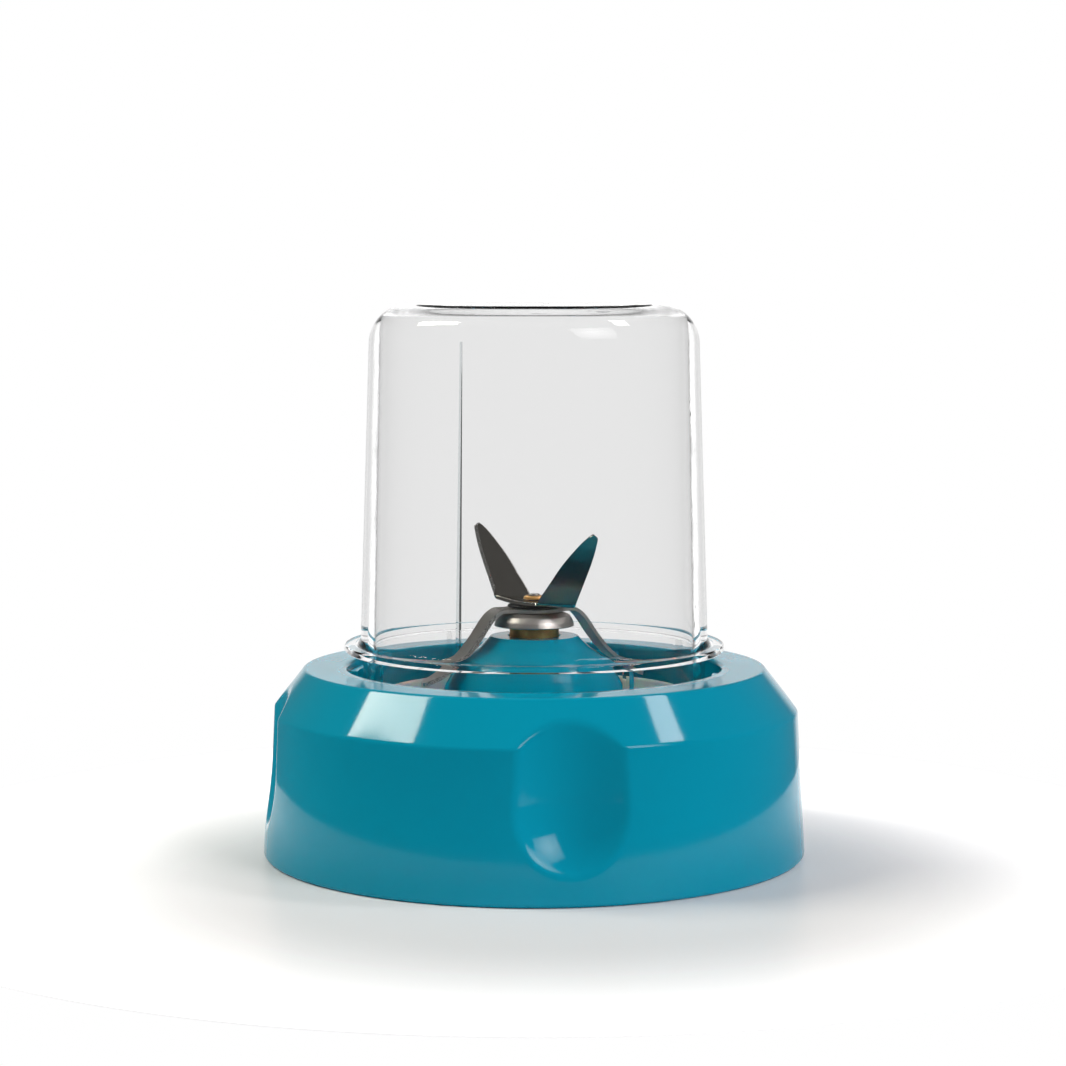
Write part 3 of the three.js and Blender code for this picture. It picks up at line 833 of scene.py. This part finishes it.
@dataclass
class Bearing:
    """The brass bearing housing with its bushes, seal, washers and nut."""

    cone_top: float = 50.2
    collar_r: float = 5.75
    collar_up: float = 2.1
    body_r: float = 4.9
    bush_r: float = 3.4
    bush_bore: float = 2.3
    bush_len: float = 8.0
    seat_z: float = 45.2
    gasket_t: float = 0.8
    boss_end: float = 24.0
    washer_r: float = 8.4
    nut_h: float = 5.0
    nut_flat: float = 8.0
    thread_out: float = 1.6
    gap: float = 0.3
    thread_pitch: float = 1.0

    def ring(self, name: str, inner: float, outer: float, low: float, high: float,
             finish: Finish, round_off: float = 0.15) -> None:
        """Builds one plain ring that stands for the node of the same name.

        Args:
            name: the node's name; the piece adds a word to it.
            inner: bore radius.
            outer: outside radius.
            low: height of its under face.
            high: height of its top face.
            finish: what it is made of.
            round_off: rounding of its edges.
        """
        outline = fillet([(outer, low, round_off), (outer, high, round_off),
                          (inner, high, round_off), (inner, low, round_off)], True, 22.5)
        made = turned(f"{name}_ring", outline, 64)
        dress(made, finish)
        enter(made, Body.BASE, [name])

    def build(self) -> None:
        """Builds every fixed piece of the bearing."""
        top = self.cone_top + self.collar_up
        under = self.seat_z + 2 * self.gap + self.gasket_t
        lock_top = self.boss_end - self.gap
        nut_top = lock_top - 1.0 - self.gap
        end = nut_top - self.nut_h - self.thread_out
        thread = [(self.body_r - 0.22 * (k % 2), end + 0.6 + self.thread_pitch * k / 2, 0.0)
                  for k in range(12)]
        corners = [(self.bush_r + 0.3, end, 0.1), (self.body_r - 0.4, end, 0.1), *thread,
                   (self.body_r, thread[-1][1] + 0.5, 0.0), (self.body_r, under, 0.1),
                   (self.collar_r, under, 0.1), (self.collar_r, top, 0.45),
                   (self.bush_r + 0.3, top, 0.2)]
        housing = turned("bearing_collar", fillet(corners, True, 15.0, 0.08), 96)
        dress(housing, TURNED_BRASS)
        enter(housing, Body.BASE, ["bearing_housing"])
        bore, bush = self.bush_bore, self.bush_r
        upper_top = top - 1.0
        self.ring("upper_bush", bore, bush, upper_top - self.bush_len, upper_top,
                  SINTERED_BRONZE)
        self.ring("lower_bush", bore, bush, end + 1.0, end + 1.0 + self.bush_len,
                  SINTERED_BRONZE)
        seal_top = upper_top - self.bush_len - 1.0
        self.ring("shaft_seal", bore, bush, seal_top - 4.0, seal_top, NITRILE,
                  0.3)
        self.ring("bearing_gasket", self.body_r + 0.3, self.collar_r,
                  self.seat_z + self.gap, self.seat_z + self.gap + self.gasket_t, NITRILE,
                  0.12)
        self.ring("lock_washer", self.body_r + 0.3, self.washer_r, lock_top - 1.0, lock_top,
                  TURNED_STEEL)
        self.ring("upper_thrust_washer", bore, bush, top + 0.2, top + 0.8, ACETAL,
                  0.1)
        self.ring("lower_thrust_washer", bore, self.body_r - 0.5, end - 0.9, end - 0.3,
                  ACETAL, 0.1)
        self.nut(nut_top)

    def nut(self, top: float) -> None:
        """Builds the hexagonal nut with its chamfered corners."""
        low = top - self.nut_h
        corner = self.nut_flat / math.cos(math.pi / 6)
        columns = 144
        outline = [(corner - 0.9, low), (corner, low + 0.6), (corner, top - 0.6),
                   (corner - 0.9, top), (self.body_r + 0.55, top),
                   (self.body_r + 0.3, top - 0.25), (self.body_r + 0.3, low + 0.25),
                   (self.body_r + 0.55, low)]
        verts: list[tuple[float, float, float]] = []
        rows: list[list[int]] = []
        for r, z in outline:
            rows.append(list(range(len(verts), len(verts) + columns)))
            for k in range(columns):
                angle = TURN * k / columns
                off = (angle + math.pi / 6) % (math.pi / 3) - math.pi / 6
                reach = min(r, self.nut_flat / math.cos(off)) if r > self.nut_flat - 1 else r
                verts.append((reach * math.cos(angle), reach * math.sin(angle), z))
        made = mesh_object("hex_nut", verts, band_faces(rows, True), crease=24.0)
        dress(made, TURNED_BRASS)
        enter(made, Body.BASE, ["bearing_nut"])


# --------------------------------------------------------------------------- blades


@dataclass
class BladeStack:
    """The driven shaft and what is stacked on it: cap, blades, spacer, nut."""

    shaft_r: float = 2.0
    necked_r: float = 1.3
    cap_z: float = 52.5
    cap_r: float = 9.35
    cap_h: float = 3.2
    bush_r: float = 3.4
    gap: float = 0.2
    thick: float = 0.9
    spacer_r: float = 6.2
    spacer_t: float = 0.4
    nut_r: float = 2.5
    nut_t: float = 0.8
    lower_at: float = 194.6
    lower_hub: float = 6.6
    lower_half: float = 3.2
    lower_reach: float = 27.5
    lower_drop: float = 16.3
    upper_at: float = 64.7
    upper_fold: float = 7.0
    upper_lean: float = 71.5
    upper_len: float = 18.2
    upper_hub: float = 6.5
    bend: float = 1.1
    shaft_end: float = 5.2
    clip_z: float = 13.6
    clip_t: float = 0.7
    pin_z: float = 8.3
    pin_r: float = 0.65

    @property
    def lower_z(self) -> float:
        """Height of the lower blade's under face at the hub."""
        return self.cap_z + self.cap_h + self.gap

    @property
    def upper_z(self) -> float:
        """Height of the upper blade's under face at the hub."""
        return self.lower_z + self.thick + self.gap + self.spacer_t + self.gap

    def build(self) -> None:
        """Builds every piece above the bearing, and the shaft."""
        self.cap()
        self.lower_blade()
        self.spacer()
        self.upper_blade()
        self.nut()
        self.shaft()
        self.clip()

    def cap(self) -> None:
        """Builds the pressed bell cap with its rolled lip."""
        low, top, r = self.cap_z, self.cap_z + self.cap_h, self.cap_r
        hub = self.cap_z + 0.8
        roof = hub + 0.8
        outline = fillet([
            (r - 1.0, low, 0.15), (r, low, 0.2), (r - 0.35, low + 1.3, 1.6),
            (r - 1.1, top - 0.7, 1.2), (r - 2.7, top, 1.2), (self.shaft_r + 0.3, top, 0.1),
            (self.shaft_r + 0.3, hub, 0.1), (self.bush_r, hub, 0.1), (self.bush_r, roof, 0.2),
            (r - 1.9, roof, 0.5), (r - 1.3, low + 0.8, 0.2)], True, 10.0, 0.1)
        made = turned("bell_cap_pressing", outline, 128)
        dress(made, CAP_STEEL)
        enter(made, Body.ROTOR, ["bell_cap"])

    def pierced(self, made: bpy.types.Object) -> None:
        """Cuts the shaft hole through a blade."""
        bore = self.necked_r + 0.3
        plug = turned("plug", [(0.0, 40.0), (bore, 40.0), (bore, 70.0), (0.0, 70.0)], 32)
        combine(made, plug, "DIFFERENCE")

    def lower_blade(self) -> None:
        """Builds the lower blade, whose arms bend down and sweep out."""
        reach, drop = self.lower_reach, self.lower_drop
        fall = curve_through([
            (0.0, 0.0), (0.31 * reach, 0.0), (0.37 * reach, -0.05 * drop),
            (0.53 * reach, -0.40 * drop), (0.63 * reach, -0.60 * drop),
            (0.75 * reach, -0.77 * drop), (0.865 * reach, -0.90 * drop), (reach, -drop)])
        width = curve_through([
            (0.0, 1.0), (0.7 * reach, 1.0), (0.85 * reach, 0.86), (0.94 * reach, 0.66),
            (0.985 * reach, 0.42), (reach, 0.2)])

        def half(s: float) -> float:
            """Half width of the blank at s."""
            strip = self.lower_half * width(abs(s))
            hub = math.sqrt(max(0.0, self.lower_hub ** 2 - s * s))
            return -smooth_min(-strip, -hub, 1.2)

        def ground(s: float) -> float:
            """Width of the ground bevel at s, on the leading edge of each arm."""
            return 0.5 * ease((s - 9.5) / 3.0)

        stations = graded([-reach, -0.8 * reach, -0.3 * reach, 0.3 * reach, 0.8 * reach, reach],
                          [14, 40, 28, 40, 14])
        sheet = BentSheet(
            stations, left=lambda s: -half(s), right=half,
            path=lambda s: (s, self.lower_z + fall(abs(s))), thick=self.thick,
            left_grind=lambda s: ground(s), right_grind=lambda s: ground(-s))
        made = sheet.build("lower_blade_stamping", self.lower_at - 90.0)
        self.pierced(made)
        dress(made, LOWER_STEEL, GROUND_STEEL)
        enter(made, Body.ROTOR, ["lower_blade"])

    def spacer(self) -> None:
        """Builds the black disc between the blades."""
        low = self.lower_z + self.thick + self.gap
        outline = fillet([(self.spacer_r, low, 0.1), (self.spacer_r, low + self.spacer_t, 0.1),
                          (self.necked_r + 0.3, low + self.spacer_t, 0.05),
                          (self.necked_r + 0.3, low, 0.05)], True, 30.0, 0.05)
        made = turned("blade_spacer_disc", outline, 96)
        dress(made, BLACK_NYLON)
        enter(made, Body.ROTOR, ["blade_spacer"])

    def upper_blade(self) -> None:
        """Builds the upper blade, with two wings folded up beside the axis."""
        fold, length = self.upper_fold, self.upper_len
        lean = math.radians(self.upper_lean)
        arc = self.bend * lean
        begin = fold - self.bend * math.tan(lean / 2.0)
        end_y = begin + self.bend * math.sin(lean)
        end_z = self.bend * (1.0 - math.cos(lean))
        total = begin + arc + length - self.bend * math.tan(lean / 2.0)

        def path(s: float) -> Point:
            """Where the fold carries the blank's distance s from its centre."""
            far, side = abs(s), math.copysign(1.0, s)
            if far <= begin:
                return (s, self.upper_z)
            if far <= begin + arc:
                angle = (far - begin) / self.bend
                return (side * (begin + self.bend * math.sin(angle)),
                        self.upper_z + self.bend * (1.0 - math.cos(angle)))
            up = far - begin - arc
            return (side * (end_y + up * math.cos(lean)),
                    self.upper_z + end_z + up * math.sin(lean))

        def share(s: float) -> float:
            """How far up the wing s lies, from 0 at the fold to 1 at the tip."""
            return (s - fold) / (total - fold)

        outer = curve_through([(-0.001, -12.0), (0.9, -18.8), (0.965, -19.05), (1.0, -18.5)])
        inner = curve_through([(0.0, -2.6), (0.14, -4.2), (0.29, -6.2), (0.55, -9.6),
                               (0.78, -13.2), (0.93, -15.9), (0.985, -17.2), (1.0, -17.9)])
        centre_left = curve_through([(-fold, 2.6), (-3.0, -3.6), (0.0, -self.upper_hub),
                                     (3.6, -9.4), (fold, -12.0)])

        def left(s: float) -> float:
            """Left edge of the blank."""
            if s > fold:
                return outer(share(s))
            if s < -fold:
                return -inner(share(-s))
            return centre_left(s)

        stations = graded([-total, -0.9 * total, -fold - 1, -begin + 1, begin - 1, fold + 1,
                           0.9 * total, total], [16, 30, 12, 24, 12, 30, 16])
        sheet = BentSheet(
            stations, left=left, right=lambda s: -left(-s), path=path, thick=self.thick,
            left_grind=lambda s: 1.1 * ease((s - fold) / 2.5),
            right_grind=lambda s: 1.1 * ease((-s - fold) / 2.5))
        made = sheet.build("upper_blade_stamping", self.upper_at - 90.0)
        self.pierced(made)
        dress(made, UPPER_STEEL, GROUND_STEEL)
        enter(made, Body.ROTOR, ["upper_blade"])

    def nut(self) -> None:
        """Builds the small brass nut on the shaft's end."""
        low = self.upper_z + self.thick + self.gap
        top = low + self.nut_t
        outline = fillet([(self.nut_r, low, 0.1), (self.nut_r, low + 0.5 * self.nut_t, 0.12),
                          (self.nut_r - 0.4, top, 0.15), (self.necked_r + 0.3, top, 0.08),
                          (self.necked_r + 0.3, low, 0.05)], True, 20.0, 0.05)
        made = turned("brass_end_nut", outline, 64)
        dress(made, TURNED_BRASS)
        enter(made, Body.ROTOR, ["blade_nut"])

    def shaft(self) -> None:
        """Builds the shaft with its clip groove, its necked end and its cross hole."""
        r, neck = self.shaft_r, self.necked_r
        step_z = self.cap_z + self.cap_h + self.gap / 2
        top = self.upper_z + self.thick + self.gap + self.nut_t + 0.45
        clip = self.clip_z
        outline = fillet([
            (0.0, self.shaft_end, 0.0), (r, self.shaft_end, 0.3), (r, clip - 0.2, 0.05),
            (r - 0.4, clip - 0.2, 0.05), (r - 0.4, clip + self.clip_t + 0.2, 0.05),
            (r, clip + self.clip_t + 0.2, 0.05), (r, step_z, 0.1), (neck, step_z, 0.05),
            (neck, top, 0.3), (0.0, top, 0.0)], False, 18.0, 0.1)
        made = turned("drive_shaft", outline, 48)
        hole = turned("hole", [(0.0, -4.0), (self.pin_r + 0.3, -4.0), (self.pin_r + 0.3, 4.0),
                               (0.0, 4.0)], 24)
        hole.data.transform(Matrix.Translation((0, 0, self.pin_z * MM))
                            @ Matrix.Rotation(math.pi / 2, 4, "X"))
        combine(made, hole, "DIFFERENCE")
        dress(made, TURNED_STEEL)
        enter(made, Body.ROTOR, ["shaft"])

    def clip(self) -> None:
        """Builds the open ring in the shaft's groove."""
        made = SectorRing(self.shaft_r - 0.2, self.shaft_r + 1.6, self.clip_z,
                          self.clip_z + self.clip_t, 290.0, 180.0, 1, 40).build("open_clip")
        soften(made, 0.1)
        dress(made, TURNED_STEEL)
        enter(made, Body.ROTOR, ["retaining_clip"])


def graded(stops: Sequence[float], counts: Sequence[int]) -> list[float]:
    """Values from the first stop to the last, with so many steps between each two."""
    values = [stops[0]]
    for low, high, count in zip(stops, stops[1:], counts):
        values += [low + (high - low) * (k + 1) / count for k in range(count)]
    return values


# --------------------------------------------------------------------------- coupling


@dataclass
class Coupling:
    """The toothed drive coupling under the base, with its insert and cross pin."""

    low: float = 4.0
    height: float = 8.6
    outer: float = 11.0
    tooth_in: float = 2.4
    teeth: int = 6
    tooth_span: float = 30.0
    insert_r: float = 4.4
    bore: float = 2.3
    pin_r: float = 0.65

    def build(self) -> None:
        """Builds the coupling, its insert and its pin."""
        low, top = self.low, self.low + self.height
        root = self.outer - self.tooth_in
        outline = fillet([(root, low, 0.6), (root, top, 0.6), (self.insert_r + 0.3, top, 0.3),
                          (self.insert_r + 0.3, low, 0.3)], True, 15.0)
        hub = turned("coupling_wheel", outline, 96)
        teeth = SectorRing(root - 1.0, self.outer, low, top - 1.2, self.tooth_span, 0.0,
                           self.teeth, 8).build("coupling_teeth")
        soften(teeth, 0.5, 3)
        combine(hub, teeth, "UNION")
        hub.data.set_sharp_from_angle(angle=math.radians(40.0))
        dress(hub, BLACK_NYLON)
        enter(hub, Body.ROTOR, ["drive_coupling"])
        inset = fillet([(self.insert_r, low + 0.6, 0.2), (self.insert_r, top - 0.4, 0.2),
                        (self.bore, top - 0.4, 0.2), (self.bore, low + 0.6, 0.2)], True, 18.0)
        insert = turned("steel_insert", inset, 64)
        middle = low + self.height / 2
        turn = Matrix.Translation((0, 0, middle * MM)) @ Matrix.Rotation(math.pi / 2, 4, "X")
        hole_r = self.pin_r + 0.3
        hole = turned("hole", [(0.0, -9.0), (hole_r, -9.0), (hole_r, 9.0), (0.0, 9.0)], 24)
        hole.data.transform(turn)
        combine(insert, hole, "DIFFERENCE")
        dress(insert, TURNED_STEEL)
        enter(insert, Body.ROTOR, ["coupling_insert"])
        half = self.insert_r - 0.4
        bar = fillet([(0.0, -half, 0.0), (self.pin_r, -half, 0.2), (self.pin_r, half, 0.2),
                      (0.0, half, 0.0)], False, 22.5, 0.05)
        pin = turned("cross_pin", bar, 32)
        pin.data.transform(turn)
        dress(pin, TURNED_STEEL)
        enter(pin, Body.ROTOR, ["coupling_pin"])


# --------------------------------------------------------------------------- cup


@dataclass
class Cup:
    """The clear cup, mouth down, with its seal ring."""

    mouth: float = 33.5
    length: float = 93.5
    body_r: float = 40.0
    draft: float = 2.2
    wall: float = 2.4
    top_wall: float = 2.9
    corner: float = 9.3
    flange_out: float = 4.0
    flange_t: float = 1.65
    flange_z: float = 46.95
    neck_r: float = 39.7
    lug_r: float = 42.6
    lug_top: float = 37.8
    lug_h: float = 2.6
    lug_span: float = 20.0
    lug_first: float = -66.6
    lugs: int = 4
    stop_span: float = 1.6
    rib_at: float = 112.6
    rib_w: float = 1.0
    well_floor: float = 31.0
    columns: int = 256

    def build(self) -> None:
        """Builds the cup and its seal."""
        self.seal()
        flange_top = self.flange_z + self.flange_t
        flange_r = self.body_r + self.flange_out
        top, top_r = self.mouth + self.length, self.body_r - self.draft
        corners = [
            (self.neck_r - self.wall, self.mouth, 0.5), (self.neck_r, self.mouth, 0.6),
            (self.neck_r, self.flange_z, 0.7), (flange_r, self.flange_z, 0.45),
            (flange_r, flange_top, 0.45), (self.body_r + 0.3, flange_top, 1.6),
            (top_r, top, self.corner), (0.0, top, 0.0), (0.0, top - self.top_wall, 0.0),
            (top_r - self.wall, top - self.top_wall, self.corner - self.wall),
        ]
        outline = fillet(corners, False, 6.0, 0.3)
        outline = self.run_back(outline)
        made = turned("clear_cup", outline, self.columns)
        rib = self.rib()
        dress(rib, CLEAR_RIB)
        enter(rib, Body.CUP)
        lugs = SectorRing(self.neck_r - 1.0, self.lug_r, self.lug_top - self.lug_h,
                          self.lug_top, self.lug_span,
                          self.lug_first - self.lug_span / 2, self.lugs).build("lugs")
        soften(lugs, 0.35, 3)
        combine(made, lugs, "UNION")
        stops = SectorRing(self.neck_r - 1.0, self.lug_r - 0.02, self.lug_top - self.lug_h + 0.2,
                           self.flange_z + 0.6, self.stop_span,
                           self.lug_first - self.stop_span / 2, self.lugs, 3).build("stops")
        combine(made, stops, "UNION")
        made.data.set_sharp_from_angle(angle=math.radians(40.0))
        dress(made, CLEAR_CUP)
        enter(made, Body.CUP, ["mill_cup"])

    def run_back(self, outline: list[Point]) -> list[Point]:
        """Runs the cup's outline back down the inside wall to its first point."""
        first, last = outline[0], outline[-1]
        steps = 12
        return outline + [(last[0] + (first[0] - last[0]) * k / steps,
                           last[1] + (first[1] - last[1]) * k / steps)
                          for k in range(1, steps)]

    def rib(self) -> bpy.types.Object:
        """The upright rib inside the cup: wide at the mouth, fading out near the top."""
        top = self.mouth + self.length - self.corner
        foot = self.mouth + 4.3
        inner = self.neck_r - self.wall
        rows: list[list[int]] = []
        verts: list[tuple[float, float, float]] = []
        steps = 40
        cos, sin = math.cos(math.radians(self.rib_at)), math.sin(math.radians(self.rib_at))
        for k in range(steps + 1):
            share = k / steps
            z = foot + (top - foot) * share
            wide = self.rib_w * (1.0 - 0.8 * share)
            face = inner - self.draft * share * 0.95
            proud = 0.25 + 0.65 * (1.0 - share)
            section = [(face + 0.8, -wide / 2), (face + 0.8, wide / 2), (face, wide / 2),
                       (face - proud * 0.8, wide * 0.36), (face - proud, 0.0),
                       (face - proud * 0.8, -wide * 0.36), (face, -wide / 2)]
            rows.append(list(range(len(verts), len(verts) + len(section))))
            verts += [(x * cos - y * sin, x * sin + y * cos, z) for x, y in section]
        faces = band_faces(rows, False)
        faces.append(tuple(reversed(rows[0])))
        faces.append(tuple(rows[-1]))
        return mesh_object("rib", verts, faces)

    def seal(self) -> None:
        """Builds the silicone ring between the cup's mouth and the well floor."""
        low, top = self.well_floor + 0.3, self.mouth - 0.3
        face = self.neck_r - self.wall - 0.3
        outline = fillet([
            (face - 1.6, low, 0.3), (self.neck_r + 0.9, low, 0.4),
            (self.neck_r + 0.9, top, 0.4), (face, top, 0.2), (face, self.mouth + 3.2, 0.4),
            (face - 1.6, self.mouth + 3.2, 0.5)], True, 15.0)
        made = turned("mouth_seal", outline, 160)
        dress(made, SILICONE)
        enter(made, Body.SEAL, ["cup_seal"])


# --------------------------------------------------------------------------- studio


@dataclass
class Studio:
    """Pale floor, soft lights and the camera."""

    distance: float = 600.0
    height: float = 123.8
    pitch: float = 4.74
    azimuth: float = -7.4
    aside: float = -0.28
    lens: float = 87.7
    sky: float = 1.0            # air behind the object, seen round it
    front: float = 0.15         # air everywhere else
    sky_from: float = 0.87      # cosine from the view's axis where the air starts to rise
    sky_full: float = 0.957     # and where it is as bright as it gets
    floor_r: float = 160.0
    floor_top: float = -0.05
    floor_under: float = -0.3
    glow_ahead: float = 34.0    # the glow's centre, in front of the object
    glow_from: float = 60.0
    glow_to: float = 145.0
    glow_lift: float = 0.72
    aim_z: float = 50.0         # height that the lamps point at

    def build(self) -> None:
        """Builds the floor, the lights and the camera."""
        self.floor()
        self.world()
        key = self.light("key", (0.60, -0.58, 0.55), 1150.0, (560.0, 560.0), 0.66)
        key.spread = 0.8
        self.light("left_box", (-0.667, 0.014, 0.745), 760.0, (350.0, 120.0), 3.5,
                   roll=32.5, colour="#FFFFF0")
        self.light("right_strip", (0.614, -0.075, 0.786), 760.0, (118.0, 170.0), 1.15,
                   roll=-32.5)
        self.camera()

    def floor(self) -> None:
        """Builds the floor, satin white acrylic, with painted light glowing from it."""
        made = turned("studio_floor", [
            (0.0, self.floor_under), (self.floor_r, self.floor_under),
            (self.floor_r, self.floor_top), (0.0, self.floor_top)], 192)
        finish = Finish("white_acrylic_floor", "#EBE8EA", 0.36, ior=1.3, grain=30.0,
                        gloss_change=0.0, relief=0.0)
        dress(made, finish)
        self.glow(finish.material().node_tree)

    def glow(self, tree: bpy.types.NodeTree) -> None:
        """Paints light onto the floor: an emission that lifts it to white away from the object, in place of a lit
        sweep.
        """
        shader = next(n for n in tree.nodes if n.type == "BSDF_PRINCIPLED")
        place = add_node(tree, "ShaderNodeTexCoord").outputs["Object"]
        far = add_node(tree, "ShaderNodeVectorMath", {
            0: place, 1: (0.0, -self.glow_ahead * MM, 0.0)},
            operation="DISTANCE").outputs["Value"]
        lift = add_node(tree, "ShaderNodeMapRange", {
            "Value": far, "From Min": self.glow_from * MM, "From Max": self.glow_to * MM,
            "To Min": 0.0, "To Max": self.glow_lift}, interpolation_type="SMOOTHSTEP")
        # painted light: the floor itself glows, though it is no lamp
        shader.inputs["Emission Color"].default_value = (1.0, 1.0, 1.0, 1.0)
        tree.links.new(lift.outputs["Result"], shader.inputs["Emission Strength"])

    def world(self) -> None:
        """Lights the air evenly, brighter behind the object than before it."""
        world = bpy.data.worlds.new("studio_air")
        bpy.context.scene.world = world
        world.use_nodes = True
        tree = world.node_tree
        tree.nodes.clear()
        way = add_node(tree, "ShaderNodeTexCoord").outputs["Generated"]
        side, down = math.radians(self.azimuth), math.radians(self.pitch)
        away = add_node(tree, "ShaderNodeVectorMath", {
            0: way, 1: (-math.sin(side) * math.cos(down), math.cos(side) * math.cos(down),
                        -math.sin(down))}, operation="DOT_PRODUCT")
        strength = add_node(tree, "ShaderNodeMapRange", {
            "Value": away.outputs["Value"], "From Min": self.sky_from,
            "From Max": self.sky_full, "To Min": self.front, "To Max": self.sky}, interpolation_type="SMOOTHSTEP")
        back = add_node(tree, "ShaderNodeBackground", {
            "Color": (1.0, 1.0, 1.0, 1.0), "Strength": strength.outputs["Result"]})
        out = tree.nodes.new("ShaderNodeOutputWorld")
        tree.links.new(back.outputs[0], out.inputs["Surface"])

    def light(self, name: str, way: tuple[float, float, float], far: float, size: Point,
              power: float, roll: float = 0.0,
              colour: str = "#FFFFFF") -> bpy.types.AreaLight:
        """Adds one soft box aimed at the middle of the object.

        Args:
            name: the lamp's name.
            way: direction to it as the camera stands: right, away, up.
            far: its distance in millimetres.
            size: its two sides in millimetres.
            power: its power in watts.
            roll: degrees it is turned about the line to the object.
            colour: its colour.

        Returns:
            The lamp.
        """
        lamp = bpy.data.lights.new(name, "AREA")
        lamp.shape = "RECTANGLE"
        lamp.size, lamp.size_y = size[0] * MM, size[1] * MM
        lamp.energy = power
        lamp.color = srgb(colour)[:3]
        made = bpy.data.objects.new(name, lamp)
        turn = Matrix.Rotation(math.radians(self.azimuth), 4, "Z")
        middle = Vector((0.0, 0.0, self.aim_z))
        made.location = (middle + turn @ Vector(way).normalized() * far) * MM
        aim = middle * MM - made.location
        level = aim.to_track_quat("-Z", "Y")
        rolled = Quaternion((0.0, 0.0, 1.0), math.radians(roll))
        made.rotation_euler = (level @ rolled).to_euler()
        bpy.context.scene.collection.objects.link(made)
        return lamp

    def camera(self) -> None:
        """Places the camera a little above the cup's top, looking slightly down."""
        data = bpy.data.cameras.new("camera")
        data.lens = self.lens
        data.sensor_width = 36.0
        data.clip_end = 20.0
        made = bpy.data.objects.new("camera", data)
        turn = Matrix.Rotation(math.radians(self.azimuth), 4, "Z")
        made.location = turn @ (Vector((self.aside, -self.distance, self.height)) * MM)
        made.rotation_euler = (math.radians(90.0 - self.pitch), 0.0, math.radians(self.azimuth))
        bpy.context.scene.collection.objects.link(made)
        bpy.context.scene.camera = made
        bpy.context.scene.view_settings.view_transform = "Standard"


def main() -> None:
    """Builds the object piece by piece, then the studio round it."""
    logging.basicConfig(level=logging.INFO, format="%(name)s: %(message)s")
    for part in (BaseHousing(), Bearing(), BladeStack(), Coupling(), Cup(), Studio()):
        log.info("building %s", type(part).__name__)
        part.build()


if __name__ == "__main__":
    main()
